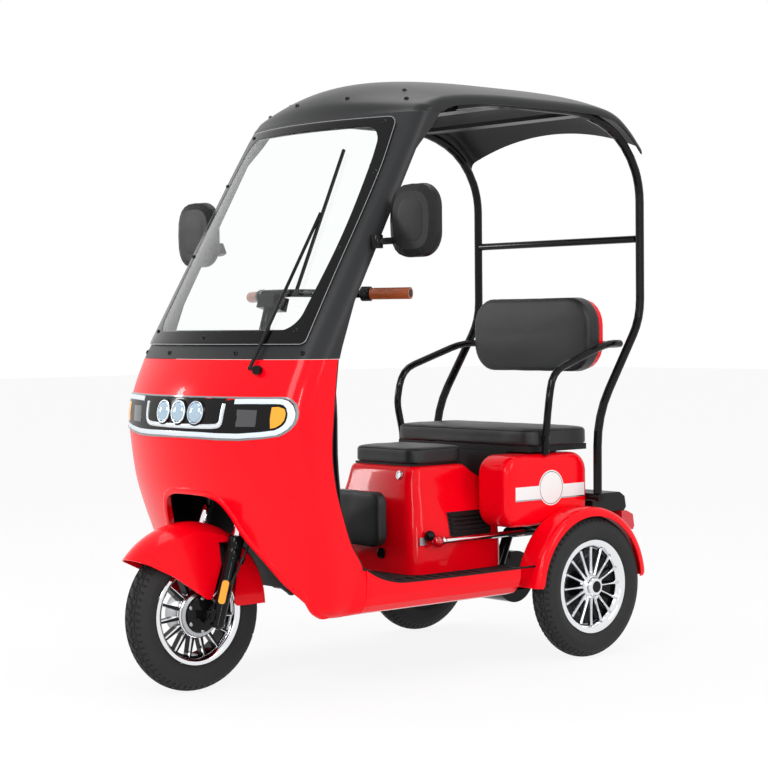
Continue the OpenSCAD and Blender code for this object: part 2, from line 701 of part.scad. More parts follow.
// Rim around X with spokes near its outer face
module rim(spokes, hub_r, bore_r, hub_half) {
    rotate([0, 90, 0]) difference() {
        union() {
            rotate_extrude($fn = 96) {
                translate([barrel_r, -31]) square([11.5, 62]);
                for (z = [-31, 27.3]) translate([barrel_r, z]) square([flange_r - barrel_r, 3.7]);
            }
            cylinder(r = hub_r, h = 2 * hub_half, center = true);
            for (i = [0 : spokes - 1]) rotate([0, 0, i * 360 / spokes])
                translate([hub_r - 4, -4, 8]) cube([barrel_r + 5 - hub_r, 8, 12]);
        }
        cylinder(r = bore_r, h = 300, center = true);
    }
}

module front_tyre() { color("#1a1a1a") at_axle() translate([0, 0, tyre_r]) tyre(); }
module front_rim() {
    color("#2a2a2c") at_axle() translate([0, 0, tyre_r]) rim(front_spokes, 62, axle_r + fit, 50);
}
module rear_wheel_at(side) {
    at_axle() translate([side * track_half, rear_y, tyre_r]) rotate([0, 0, side > 0 ? 0 : 180]) children();
}
module rear_tyre_left() { color("#1a1a1a") rear_wheel_at(1) tyre(); }
module rear_tyre_right() { color("#1a1a1a") rear_wheel_at(-1) tyre(); }
module rear_rim_left() { color("#c8ccd0") rear_wheel_at(1) rim(rear_spokes, 34, stub_r + fit, 30); }
module rear_rim_right() { color("#c8ccd0") rear_wheel_at(-1) rim(rear_spokes, 34, stub_r + fit, 30); }

module driver_seat_plate() {
    color("#141414") at_rear() {
        translate([-126, 684, 568.5]) cube([252, 188, 6]);
        translate([0, seat_hinge_y, seat_hinge_z]) rotate([0, 90, 0])
            cylinder(r = hinge_r, h = 100, center = true);
        translate([-50, 870, 570]) cube([100, seat_hinge_y - 870, 3.6]);
    }
}
module driver_seat() {
    color("#1a1a1b") at_rear() cushion(678, 880, 136, 40, seat_z + 4, seat_h - 4);
}

module child_pad() {
    color("#1a1a1b") at_rear() skin(reversed([for (s = [[560, 8], [566, 1], [594, 0], [600, 3]])
        [for (p = plan_ring(344 + s[1], 500 - s[1], 110 - s[1], 34 - s[1], 0, 5)) [p[0], s[0], p[1]]]]));
}
// Back plate of the child pad with two hinge lugs
module child_pad_plate() {
    color("#101011") at_rear() difference() {
        union() {
            translate([-90, 600 + gap, 352]) cube([180, 4, pad_hinge_z - 12 - 352]);
            both_sides() translate([10, pad_hinge_y, pad_hinge_z]) rotate([0, 90, 0]) cylinder(r = 8, h = 14);
            both_sides() translate([10, 600 + gap, pad_hinge_z - 20]) cube([14, pad_hinge_y - 600 - gap, 20]);
        }
        translate([0, pad_hinge_y, pad_hinge_z]) rotate([0, 90, 0])
            cylinder(r = pad_pin_r + fit, h = 100, center = true);
    }
}

// Fixed bracket on the battery box with the pin that the pad swings on
module child_pad_arm() {
    color("#111112") at_rear() {
        translate([-8, pad_hinge_y, pad_hinge_z - 6])
            cube([16, at(BOX, pad_hinge_z - 6) - gap - pad_hinge_y, 12]);
        translate([0, pad_hinge_y, pad_hinge_z]) rotate([0, 90, 0])
            cylinder(r = pad_pin_r, h = 56, center = true);
    }
}

chassis();
front_shield();
skirts();
shield_liner();
wheel_well();
floor_board();
headlamp();
headlamp_lenses();
windscreen_frame();
windscreen();
wiper();
roof_panel();
roof_tubes();
cross_bar();
roof_braces();
mirrors();
battery_box();
vents();
rear_base();
side_boxes();
bench_plate();
bench_cushion();
backrest_shell();
backrest_pad();
armrests();
rear_fenders();
tail_lamps();
tail_piece();
rear_axle();
springs();
side_lever();
gear_lever();
fork();
handlebar();
grips();
controls();
front_fender();
front_tyre();
front_rim();
rear_tyre_left();
rear_rim_left();
rear_tyre_right();
rear_rim_right();
driver_seat();
driver_seat_plate();
child_pad();
child_pad_plate();
child_pad_arm();
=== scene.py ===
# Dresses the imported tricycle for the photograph's view.
# Lengths are in millimetres in the axle frame, as in the part's source: X to the
# vehicle's left, Y rearward from the front axle, Z up from the ground.
import math

import bmesh
import bpy
from mathutils import Matrix, Vector, noise


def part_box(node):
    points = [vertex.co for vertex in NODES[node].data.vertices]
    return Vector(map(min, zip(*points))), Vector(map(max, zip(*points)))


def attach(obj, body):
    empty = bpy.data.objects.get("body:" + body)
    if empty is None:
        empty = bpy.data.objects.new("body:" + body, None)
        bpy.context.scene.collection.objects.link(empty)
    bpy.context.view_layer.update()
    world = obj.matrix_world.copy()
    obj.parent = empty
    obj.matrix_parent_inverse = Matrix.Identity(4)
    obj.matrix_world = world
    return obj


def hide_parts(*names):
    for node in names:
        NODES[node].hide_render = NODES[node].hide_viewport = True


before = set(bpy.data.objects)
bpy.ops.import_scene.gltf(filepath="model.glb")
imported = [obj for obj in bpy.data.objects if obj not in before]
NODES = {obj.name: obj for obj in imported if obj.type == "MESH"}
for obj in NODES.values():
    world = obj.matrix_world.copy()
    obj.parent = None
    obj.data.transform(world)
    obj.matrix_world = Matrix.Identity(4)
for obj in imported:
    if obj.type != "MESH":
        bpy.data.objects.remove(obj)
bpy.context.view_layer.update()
MM = 0.001

tyre_low, tyre_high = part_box("front_tyre")
AXLE_Y = (tyre_low.y + tyre_high.y) / 2 / MM
TYRE_R = (tyre_high.z - tyre_low.z) / 2 / MM
rear_low, rear_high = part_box("rear_tyre_left")
WHEELBASE = (rear_low.y + rear_high.y) / 2 / MM - AXLE_Y
SHIFT = WHEELBASE - 1146
TRACK = (rear_low.x + rear_high.x) / 2 / MM
TYRE_W = (rear_high.x - rear_low.x) / MM
RAKE = math.radians(16.5)
FORK_OFFSET = 30


# Camera
CAMERA_AT = (4232.2, -3032.5, 966.3)
CAMERA_YAW, CAMERA_PITCH, CAMERA_ROLL = -0.8497, -0.0292, -0.0086
CAMERA_LENS = 91.33


def place(p):
    """A point of the axle frame in millimetres, in the row frame in metres."""
    return Vector((p[0] * MM, (p[1] + AXLE_Y) * MM, p[2] * MM))


def make_camera():
    cam = bpy.data.objects.new("camera", bpy.data.cameras.new("camera"))
    bpy.context.scene.collection.objects.link(cam)
    cy, sy = math.cos(CAMERA_YAW), math.sin(CAMERA_YAW)
    cp, sp = math.cos(CAMERA_PITCH), math.sin(CAMERA_PITCH)
    ahead = Vector((cp * sy, cp * cy, sp))
    right = Vector((cy, -sy, 0))
    up = right.cross(ahead)
    cr, sr = math.cos(CAMERA_ROLL), math.sin(CAMERA_ROLL)
    x_axis, y_axis = cr * right + sr * up, cr * up - sr * right
    turn = Matrix((x_axis, y_axis, -ahead)).transposed()
    cam.matrix_world = Matrix.Translation(place(CAMERA_AT)) @ turn.to_4x4()
    cam.data.lens, cam.data.sensor_width = CAMERA_LENS, 36
    cam.data.clip_start, cam.data.clip_end = 0.1, 60
    bpy.context.scene.camera = cam


make_camera()


# Materials
def principled(name, colour, rough, metal=0.0, coat=0.0, ior=1.45, spec=0.5, **more):
    m = bpy.data.materials.new(name)
    m.use_nodes = True
    s = m.node_tree.nodes["Principled BSDF"]
    s.inputs["Base Color"].default_value = (*colour, 1)
    s.inputs["Roughness"].default_value = rough
    s.inputs["Metallic"].default_value = metal
    s.inputs["Coat Weight"].default_value = coat
    s.inputs["Coat Roughness"].default_value = 0.04
    s.inputs["IOR"].default_value = ior
    s.inputs["Specular IOR Level"].default_value = spec
    for key, value in more.items():
        s.inputs[key.replace("_", " ")].default_value = value
    return m


def grained(m, scale, strength, distance=0.0004, detail=4.0):
    """Fine relief on a material."""
    nodes, links = m.node_tree.nodes, m.node_tree.links
    coord = nodes.new("ShaderNodeTexCoord")
    noise = nodes.new("ShaderNodeTexNoise")
    bump = nodes.new("ShaderNodeBump")
    noise.inputs["Scale"].default_value = scale
    noise.inputs["Detail"].default_value = detail
    bump.inputs["Strength"].default_value = strength
    bump.inputs["Distance"].default_value = distance
    links.new(coord.outputs["Object"], noise.inputs["Vector"])
    links.new(noise.outputs["Fac"], bump.inputs["Height"])
    links.new(bump.outputs["Normal"], nodes["Principled BSDF"].inputs["Normal"])
    return m


RED = principled("red", (0.93, 0.0, 0.008), 0.2, coat=0.22, spec=0.1)
RED_PAINT = principled("red_spring", (0.6, 0.01, 0.02), 0.3, coat=0.4)
BLACK_GLOSS = principled("black_gloss", (0.006, 0.006, 0.0065), 0.1, coat=0.12, spec=0.12)
DARK = grained(principled("dark_plastic", (0.016, 0.0165, 0.018), 0.36, spec=0.3), 900, 0.2)
ROOF = grained(principled("roof_plastic", (0.013, 0.0135, 0.0145), 0.34, spec=0.3), 900, 0.2)
BLACK = principled("black_plastic", (0.009, 0.009, 0.0095), 0.4, spec=0.25)
MATTE = principled("black_matte", (0.015, 0.015, 0.016), 0.7, spec=0.25)
LEATHER = grained(principled("leather", (0.018, 0.0185, 0.02), 0.42, spec=0.4), 700, 0.35, 0.0006)
RUBBER = grained(principled("rubber", (0.02, 0.02, 0.0205), 0.65, spec=0.3), 500, 0.3)
CHROME = principled("chrome", (0.82, 0.83, 0.85), 0.06, metal=1.0)
ALLOY = principled("alloy", (0.72, 0.73, 0.76), 0.16, metal=1.0)
STEEL = principled("steel", (0.45, 0.46, 0.48), 0.3, metal=1.0)
GLASS = principled(
    "clear_glass", (0.97, 0.99, 0.99), 0.0, ior=1.3, spec=0.5, Transmission_Weight=1.0)
LAMP_GLASS = principled("lamp_glass", (1, 1, 1), 0.0, ior=1.25, Transmission_Weight=1.0)
FRIT = principled("glass_border", (0.004, 0.004, 0.0045), 0.04, coat=0.2, spec=0.1)
WHITE_LAMP = principled("white_lamp", (0.72, 0.8, 0.86), 0.12, coat=0.6)
AMBER = principled("amber", (0.95, 0.38, 0.005), 0.12, coat=0.8)
RED_LENS = principled("red_lens", (0.6, 0.0, 0.01), 0.08, coat=0.8)
GRIP = principled("grip", (0.33, 0.07, 0.02), 0.35, coat=0.3)
ORANGE = principled("orange_button", (0.9, 0.16, 0.01), 0.35)
WHITE = principled("white_sticker", (0.85, 0.85, 0.85), 0.3, coat=0.4)
KNOB_RED = principled("red_knob", (0.6, 0.0, 0.01), 0.1, coat=0.8)
SILVER = principled("silver_trim", (0.7, 0.72, 0.75), 0.18, metal=0.7)
LAMP_BOX = principled("lamp_box", (0.05, 0.05, 0.055), 0.15, coat=0.5)
LENS_DOME = principled("lens_dome", (0.42, 0.56, 0.68), 0.05, metal=0.5, coat=0.8)
# lighter grey for thin edges on black parts: a painted highlight, not the parts' own colour
PAINTED_EDGE_HIGHLIGHT = principled("painted_edge_highlight", (0.22, 0.23, 0.24), 0.12, coat=0.5)
LENS_METAL = principled("lens_bowl", (0.75, 0.8, 0.85), 0.12, metal=1.0)

SURFACES = [RED, RED_PAINT, BLACK_GLOSS, BLACK, MATTE, CHROME, ALLOY, STEEL, FRIT, WHITE_LAMP, AMBER,
            RED_LENS, GRIP, ORANGE, WHITE, KNOB_RED, SILVER, LAMP_BOX, LENS_DOME, PAINTED_EDGE_HIGHLIGHT, LENS_METAL]


def worn(m):
    """Fine relief and a little change of gloss over a surface."""
    nodes, links = m.node_tree.nodes, m.node_tree.links
    grained(m, 260, 0.03, 0.0002)
    noise, span = nodes.new("ShaderNodeTexNoise"), nodes.new("ShaderNodeMapRange")
    noise.inputs["Scale"].default_value = 9
    rough = nodes["Principled BSDF"].inputs["Roughness"]
    span.inputs["To Min"].default_value = rough.default_value * 0.8
    span.inputs["To Max"].default_value = rough.default_value * 1.25
    coord = nodes.new("ShaderNodeTexCoord")
    links.new(coord.outputs["Object"], noise.inputs["Vector"])
    links.new(noise.outputs["Fac"], span.inputs["Value"])
    links.new(span.outputs["Result"], rough)


for surface in SURFACES:
    worn(surface)

NODE_LOOKS = {
    RED: ["front_shield", "skirts", "battery_box", "side_boxes", "backrest_shell",
          "rear_fenders", "front_fender"],
    DARK: ["shield_liner", "windscreen_frame", "roof_braces"],
    ROOF: ["roof_panel"],
    BLACK: ["wheel_well", "vents", "rear_base", "bench_plate", "tail_piece",
            "driver_seat_plate", "child_pad_plate", "controls", "mirrors", "gear_lever"],
    MATTE: ["floor_board"],
    BLACK_GLOSS: ["chassis", "roof_tubes", "cross_bar", "armrests", "rear_axle", "fork",
                  "handlebar", "child_pad_arm", "headlamp", "wiper"],
    LEATHER: ["bench_cushion", "backrest_pad", "driver_seat", "child_pad"],
    RUBBER: ["front_tyre", "rear_tyre_left", "rear_tyre_right"],
    CHROME: ["side_lever"],
    ALLOY: ["rear_rim_left", "rear_rim_right"],
    RED_PAINT: ["springs"],
    RED_LENS: ["tail_lamps"],
    GRIP: ["grips"],
    GLASS: ["windscreen"],
    LAMP_GLASS: ["headlamp_lenses"],
}


def smooth_by_angle(mesh, degrees):
    """Smooth shading, with an edge kept sharp where its faces meet at more than this."""
    bm = bmesh.new()
    bm.from_mesh(mesh)
    limit = math.radians(degrees)
    for face in bm.faces:
        face.smooth = True
    for edge in bm.edges:
        edge.smooth = len(edge.link_faces) == 2 and edge.calc_face_angle(0) < limit
    bm.to_mesh(mesh)
    bm.free()


def dress_nodes():
    for look, names in NODE_LOOKS.items():
        for name in names:
            mesh = NODES[name].data
            mesh.materials.clear()
            mesh.materials.append(look)
            smooth_by_angle(mesh, 32)
    for name in ("front_rim",):
        NODES[name].data.materials.clear()
        NODES[name].data.materials.append(BLACK_GLOSS)
        smooth_by_angle(NODES[name].data, 32)


dress_nodes()


# Studio
FLOOR_WHITE = 0.12


def light_path_mix(nodes, outputs):
    """Largest of some Light Path outputs."""
    path = nodes.new("ShaderNodeLightPath")
    found = path.outputs[outputs[0]]
    for name in outputs[1:]:
        top = nodes.new("ShaderNodeMath")
        top.operation = "MAXIMUM"
        nodes.id_data.links.new(found, top.inputs[0])
        nodes.id_data.links.new(path.outputs[name], top.inputs[1])
        found = top.outputs[0]
    return found


def make_world():
    world = bpy.data.worlds.new("studio")
    bpy.context.scene.world = world
    world.use_nodes = True
    nodes, links = world.node_tree.nodes, world.node_tree.links
    nodes.clear()
    out = nodes.new("ShaderNodeOutputWorld")
    seen = nodes.new("ShaderNodeBackground")
    seen.inputs["Color"].default_value = (1, 1, 1, 1)
    seen.inputs["Strength"].default_value = 1.0
    fill = nodes.new("ShaderNodeBackground")
    fill.inputs["Color"].default_value = (1, 1, 1, 1)
    fill.inputs["Strength"].default_value = 0.62
    mix = nodes.new("ShaderNodeMixShader")
    links.new(light_path_mix(nodes, ["Is Camera Ray", "Is Transmission Ray", "Is Glossy Ray"]),
              mix.inputs["Fac"])
    links.new(fill.outputs[0], mix.inputs[1])
    links.new(seen.outputs[0], mix.inputs[2])
    links.new(mix.outputs[0], out.inputs["Surface"])


def make_floor():
    bpy.ops.mesh.primitive_plane_add(size=60, location=(0, 0, 0))
    floor = bpy.context.object
    floor.name = "floor"
    m = bpy.data.materials.new("floor")
    m.use_nodes = True
    nodes, links = m.node_tree.nodes, m.node_tree.links
    nodes.clear()
    out = nodes.new("ShaderNodeOutputMaterial")
    diffuse = nodes.new("ShaderNodeBsdfDiffuse")
    diffuse.inputs["Color"].default_value = (0.9, 0.9, 0.9, 1)
    glow = nodes.new("ShaderNodeEmission")
    glow.inputs["Color"].default_value = (1, 1, 1, 1)
    glow.inputs["Strength"].default_value = 1.0
    share = nodes.new("ShaderNodeMath")
    share.operation = "MULTIPLY"
    share.inputs[1].default_value = 1 - FLOOR_WHITE
    mix = nodes.new("ShaderNodeMixShader")
    links.new(light_path_mix(nodes, ["Is Camera Ray", "Is Transmission Ray", "Is Glossy Ray"]),
              share.inputs[0])
    links.new(share.outputs[0], mix.inputs["Fac"])
    links.new(diffuse.outputs[0], mix.inputs[1])
    links.new(glow.outputs[0], mix.inputs[2])
    links.new(mix.outputs[0], out.inputs["Surface"])
    floor.data.materials.append(m)


def area_light(name, at, aim, size, energy):
    data = bpy.data.lights.new(name, "AREA")
    data.shape, data.size, data.size_y = "RECTANGLE", size[0], size[1]
    data.energy = energy
    lamp = bpy.data.objects.new(name, data)
    bpy.context.scene.collection.objects.link(lamp)
    lamp.location = at
    lamp.rotation_euler = (Vector(aim) - Vector(at)).to_track_quat("-Z", "Y").to_euler()


def make_studio():
    make_world()
    make_floor()
    area_light("key", (2.2, -4.2, 3.6), (0, 0, 0.8), (1.6, 2.4), 95)
    area_light("side", (4.2, 1.2, 2.6), (0, 0.1, 0.8), (1.0, 2.6), 40)
    area_light("strip_left", (4.6, -2.5, 1.7), (0, -0.5, 0.9), (0.25, 1.8), 40)
    area_light("strip_right", (-4.4, -3.1, 2.0), (0, -0.5, 0.9), (0.4, 1.4), 45)
    area_light("top", (-0.6, 0.3, 4.6), (0, 0, 0.6), (2.6, 2.6), 60)
    bpy.context.scene.view_settings.view_transform = "Standard"


make_studio()


# Shapes from the part's source
FACE_R, SEAM_Z = 838, 885
SHIELD = [
    [205, 130, 322, 60, 250], [222, 108, 338, 66, 256], [250, 92, 350, 74, 264],
    [300, 72, 362, 82, 274], [331, 62, 368, 86, 285], [400, 37, 377, 90, 238],
    [468, 11, 383, 90, 208], [547, -15, 385, 90, 182], [638, -31, 385, 90, 170],
    [728, -38, 385, 90, 175], [800, -21, 385, 90, 182], [SEAM_Z, 16, 385, 90, 192]]
ARCH = [[205, 316], [252, 312], [269, 300], [310, 262], [376, 215], [428, 178],
        [479, 158], [512, 136], [530, 112], [538, 84]]
ARCH_TOP = 543
SILL = [[206, 322], [214, 350], [232, 368], [256, 377], [284, 379], [331, 379.2]]
SCREEN = [[SEAM_Z, 17, 385, 90, 198], [926, 42, 384, 88, 212], [1129, 165, 380, 78, 293],
          [1261, 245, 377, 70, 364], [1410, 335, 373, 64, 455], [1508, 394, 370, 60, 545],
          [1545, 417, 368, 58, 575]]
ROOF_Z, ROOF_HALF = 1674, 368
ROOF_ROWS = [
    [0, 418, 1545.5, 0, 157, 838, 58], [1, 446, 1589, 16, 143, 850, 54],
    [2, 492, 1624, 38, 122, 880, 46], [3, 560, 1651, 60, 104, 930, 38],
    [4, 660, ROOF_Z - 8, 78, 93, 980, 32], [5, 800, ROOF_Z - 1, 89, 88, 1000, 30],
    [6, 960, ROOF_Z, 90, 86, 1000, 30], [7, 1120, ROOF_Z - 1, 92, 84, 1000, 30],
    [8, 1230, ROOF_Z - 7, 94, 82, 1000, 30], [9, 1300, ROOF_Z - 24, 95, 82, 1000, 30],
    [10, 1352, ROOF_Z - 60, 93, 82, 1000, 30], [11, 1396, ROOF_Z - 107, 90, 82, 1000, 30]]


def at(table, key, col=1):
    """Smooth value of a column, by the source's own rule."""
    i = 0
    while i < len(table) - 2 and key > table[i + 1][0]:
        i += 1
    h = table[i + 1][0] - table[i][0]
    u = (key - table[i][0]) / h

    def slope(j):
        a, b = max(j - 1, 0), min(j + 1, len(table) - 1)
        return (table[b][col] - table[a][col]) / (table[b][0] - table[a][0])

    return (table[i][col] * (1 + 2 * u) * (1 - u) ** 2 + slope(i) * h * u * (1 - u) ** 2
            + table[i + 1][col] * u * u * (3 - 2 * u) + slope(i + 1) * h * u * u * (u - 1))


def spread(a, b, n):
    """n evenly spaced values."""
    return [a + (b - a) * i / (n - 1) for i in range(n)]


def plan(table, z):
    """The plan curve at a height: front line, half width, corner radius, the corner's
    centre, the angle at which the corner starts, and the centre's Y."""
    y0, w, rc = (at(table, z, c) for c in (1, 2, 3))
    xc = w - rc
    turn = math.asin(xc / (FACE_R - rc))
    return y0, w, rc, xc, turn, y0 + FACE_R - (FACE_R - rc) * math.cos(turn)


def cowl(table, z, angle, off=0.0):
    """Point of the cowl's plan curve at an angle from straight ahead, moved out by off."""
    y0, w, rc, xc, turn, yc = plan(table, z)
    if angle < turn:
        r = FACE_R + off
        return (math.sin(angle) * r, y0 + FACE_R - math.cos(angle) * r, z)
    return (xc + math.sin(angle) * (rc + off), yc - math.cos(angle) * (rc + off), z)


def cowl_row(table, z, start, off):
    """Half of a level of the cowl, from an angle round the corner to the rear edge."""
    y0, w, rc, xc, turn, yc = plan(table, z)
    rear = at(table, z, 4)
    knee = max(turn, start + 0.1)
    line = [cowl(table, z, a, off) for a in spread(start, knee, 18)]
    line += [cowl(table, z, a, off) for a in spread(knee, math.pi / 2, 14)[1:]]
    return line + [(w + off, y, z) for y in spread(yc, max(rear, yc + 1), 8)[1:]]


def front_y(x, z):
    """Y of the shield's or the screen's front surface."""
    y0, w, rc, xc, turn, yc = plan(SHIELD if z < SEAM_Z else SCREEN, z)
    if abs(x) <= FACE_R * math.sin(turn):
        return y0 + FACE_R - math.sqrt(FACE_R * FACE_R - x * x)
    return yc - math.sqrt(max(rc * rc - (abs(x) - xc) ** 2, 0))


def face_point(x, z, off=0.0):
    """Point of the shield's or the screen's front surface, moved out by off."""
    point = Vector((x, front_y(x, z), z))
    if not off:
        return point
    e = 0.5
    dx = (front_y(x + e, z) - front_y(x - e, z)) / (2 * e)
    dz = (front_y(x, z + e) - front_y(x, z - e)) / (2 * e)
    return point + Vector((dx, -1, dz)).normalized() * off


# Mesh building
# Points of a piece closer together than this become one
WELD = 0.02


class Build:
    """Collects faces, each with its material, and makes one piece of them."""

    def __init__(self):
        self.verts, self.faces, self.marks, self.looks = [], [], [], []

    def add(self, verts, faces, look, turn=None):
        if look not in self.looks:
            self.looks.append(look)
        base, k = len(self.verts), self.looks.index(look)
        self.verts += [turn @ Vector(v) if turn else Vector(v) for v in verts]
        self.faces += [[base + i for i in f] for f in faces]
        self.marks += [k] * len(faces)
        return self

    def grid(self, rows, look, loop=False, turn=None):
        """Faces between rows of points."""
        n = len(rows[0])
        faces = [[j * n + i, j * n + (i + 1) % n, (j + 1) * n + (i + 1) % n, (j + 1) * n + i]
                 for j in range(len(rows) - 1) for i in range(n if loop else n - 1)]
        return self.add([p for r in rows for p in r], faces, look, turn)

    def shell(self, outer, inner, look, inside=None, keep=None):
        """Two skins with their open edges joined."""
        n, count = len(outer[0]), len(outer) * len(outer[0])
        cells = [(j, i) for j in range(len(outer) - 1) for i in range(n - 1)
                 if keep is None or keep(outer[j][i], outer[j + 1][i + 1])]
        quads = [[j * n + i, j * n + i + 1, (j + 1) * n + i + 1, (j + 1) * n + i] for j, i in cells]
        edges = {edge: True for q in quads for edge in zip(q, q[1:] + q[:1])}
        rim = [[b, a, a + count, b + count] for a, b in edges if (b, a) not in edges]
        points = [p for r in outer for p in r] + [p for r in inner for p in r]
        base = len(self.verts)
        self.add(points, quads + rim, look)
        inside = inside or look
        if inside not in self.looks:
            self.looks.append(inside)
        k = self.looks.index(inside)
        self.faces += [[base + count + i for i in reversed(q)] for q in quads]
        self.marks += [k] * len(quads)
        return self

    def lathe(self, profile, look, turn, steps=48):
        """Revolves (radius, height) round local Z."""
        angles = [2 * math.pi * k / steps for k in range(steps)]
        rows = [[(r * math.cos(a), r * math.sin(a), h) for a in angles] for r, h in profile]
        return self.grid(rows, look, loop=True, turn=turn)

    def tube(self, path, r, look, sides=14):
        """Round tube along points; r may be a list."""
        path = [Vector(p) for p in path]
        radii = r if isinstance(r, (list, tuple)) else [r] * len(path)
        rows, side = [], None
        for i, p in enumerate(path):
            t = (path[min(i + 1, len(path) - 1)] - path[max(i - 1, 0)]).normalized()
            if side is None:
                side = t.orthogonal().normalized()
            side = (side - t * side.dot(t)).normalized()
            other = t.cross(side)
            rows.append([p + radii[i] * (math.cos(a) * side + math.sin(a) * other)
                         for a in spread(0, 2 * math.pi, sides + 1)[:-1]])
        rows = [[path[0]] * sides] + rows + [[path[-1]] * sides]
        return self.grid(rows, look, loop=True)

    def block(self, low, high, look, turn=None):
        (a, b, c), (d, e, f) = low, high
        verts = [(x, y, z) for x in (a, d) for y in (b, e) for z in (c, f)]
        return self.add(verts, [[0, 1, 3, 2], [4, 6, 7, 5], [0, 4, 5, 1], [2, 3, 7, 6],
                                [0, 2, 6, 4], [1, 5, 7, 3]], look, turn)

    def prism(self, outline, low, high, look, turn=None):
        """Outline in local X and Y, carried along local Z."""
        n = len(outline)
        verts = [(*p, low) for p in outline] + [(*p, high) for p in outline]
        faces = [[i, (i + 1) % n, n + (i + 1) % n, n + i] for i in range(n)]
        return self.add(verts, faces + [list(range(n))[::-1], list(range(n, 2 * n))], look, turn)

    def mirrored(self):
        """Adds the same faces on the other side of the vehicle."""
        n = len(self.verts)
        self.verts += [Vector((-v[0], v[1], v[2])) for v in self.verts]
        self.faces += [[n + i for i in reversed(f)] for f in self.faces[:]]
        self.marks += self.marks[:]
        return self

    def piece(self, name, body, nodes=(), slot=None, angle=38):
        """Makes the object, rides it on its body and hides the parts it replaces."""
        mesh = bpy.data.meshes.new(name)
        mesh.from_pydata([place(v) for v in self.verts], [], self.faces)
        for look in self.looks:
            mesh.materials.append(look)
        mesh.polygons.foreach_set("material_index", self.marks)
        bm = bmesh.new()
        bm.from_mesh(mesh)
        bmesh.ops.remove_doubles(bm, verts=bm.verts, dist=WELD * MM)
        bmesh.ops.dissolve_degenerate(bm, edges=bm.edges, dist=1e-6)
        bmesh.ops.recalc_face_normals(bm, faces=bm.faces)
        bm.to_mesh(mesh)
        bm.free()
        smooth_by_angle(mesh, angle)
        obj = bpy.data.objects.new(name, mesh)
        bpy.context.scene.collection.objects.link(obj)
        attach(obj, body)
        if nodes:
            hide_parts(*nodes)
        return obj


def along(origin, z_axis, x_hint=(1, 0, 0)):
    """Local frame at a point with Z along a direction."""
    z = Vector(z_axis).normalized()
    x = Vector(x_hint)
    if abs(x.normalized().dot(z)) > 0.95:
        x = Vector((0, 0, 1))
    x = (x - z * x.dot(z)).normalized()
    y = z.cross(x)
    m = Matrix((x, y, z)).transposed().to_4x4()
    return Matrix.Translation(Vector(origin)) @ m


def smoothed(path, steps=8, bend=0.5):
    """Polyline with its corners rounded."""
    path = [Vector(p) for p in path]
    out = [path[0]]
    for a, c, b in zip(path, path[1:], path[2:]):
        start, stop = c.lerp(a, bend), c.lerp(b, bend)
        for k in range(steps + 1):
            u = k / steps
            out.append(start * (1 - u) ** 2 + c * 2 * u * (1 - u) + stop * u * u)
    return out + [path[-1]]


def band(b, path, profile, look, closed=False):
    """A profile of (sideways, out) carried along [x, z] points of the front surface."""
    n = len(path)
    rows = []
    for i, (x, z) in enumerate(path):
        if closed:
            p, q = path[(i - 1) % n], path[(i + 1) % n]
        else:
            p, q = path[max(i - 1, 0)], path[min(i + 1, n - 1)]
        d = Vector((q[0] - p[0], q[1] - p[1])).normalized()
        rows.append([face_point(x + d.y * s, z - d.x * s, out) for s, out in profile])
    if closed:
        rows.append(rows[0])
    else:
        first, last = (sum(row, Vector()) / len(row) for row in (rows[0], rows[-1]))
        rows = [[first] * len(profile)] + rows + [[last] * len(profile)]
    b.grid(rows, look, loop=True)


def patch(b, outline, off, look, rings=5, edge=0.0):
    """Fills a star-shaped [x, z] outline on the front surface, its edge turned in by edge."""
    cx, cz = (sum(p[k] for p in outline) / len(outline) for k in (0, 1))
    rows = [[face_point(cx + (x - cx) * t, cz + (z - cz) * t, off) for x, z in outline]
            for t in spread(0.001, 1, rings)]
    if edge:
        rows.append([face_point(x, z, off - edge) for x, z in outline])
    b.grid(rows, look, loop=True)


def screw(b, point, normal, look=None, r=6.0):
    look = look or BLACK_GLOSS
    turn = along(point, normal)
    b.lathe([(r + 1.5, -1), (r + 1.5, 0.6), (r, 1.2), (r - 0.6, 3.0), (r - 2, 4.0), (r - 2.6, 4.1),
             (r - 3.2, 2.6), (0.01, 2.6)], look, turn, 20)


def face_screw(b, x, z, off=0.0, r=6.0):
    p = face_point(x, z, off + 0.01)
    screw(b, p, face_point(x, z, 5) - face_point(x, z, 1), r=r)


# Red front shield
LAMP_Z, LAMP_HALF, LAMP_RISE = 735, 372, 52
# Right half of the headlamp's outline, X and Z, from the top middle to the bottom middle
LAMP = [(0, 787), (75, 787), (160, 787), (246, 787), (300, 787.5), (331, 788), (346, 787.5),
        (357, 783), (366, 772), (371, 752), (371, 738), (368, 722), (361, 709), (350, 699),
        (338, 692.5), (299, 686), (225, 679), (150, 678.5), (87, 680), (0, 681)]


def lamp_outline(shrink=0.0):
    """The lamp's outline as [x, z] points, both sides, a little smaller."""
    points = LAMP + [(-x, z) for x, z in reversed(LAMP[1:-1])]
    return [(x * (1 - shrink / LAMP_HALF), LAMP_Z + (z - LAMP_Z) * (1 - shrink / LAMP_RISE))
            for x, z in points]


def arch_half(z):
    """Half width of the wheel arch at a height."""
    if z >= ARCH_TOP:
        return 0.0
    high, half = ARCH[-1]
    if z > high:
        return half * math.sqrt(max(1 - ((z - high) / (ARCH_TOP - high)) ** 2, 0))
    return at(ARCH, z)


def shield_start(z):
    """Angle of the plan curve at which the panel starts beside the wheel arch."""
    x = arch_half(z)
    y0, w, rc, xc, turn, yc = plan(SHIELD, z)
    if x <= FACE_R * math.sin(turn):
        return math.asin(x / FACE_R)
    return math.asin(min((x - xc) / rc, 0.999))


def sill_x(z):
    """Outer face of the sill at a height."""
    i = next((k for k in range(len(SILL) - 1) if SILL[k + 1][0] >= z), len(SILL) - 2)
    u = (z - SILL[i][0]) / (SILL[i + 1][0] - SILL[i][0])
    return SILL[i][1] * (1 - u) + SILL[i + 1][1] * u + 0.3


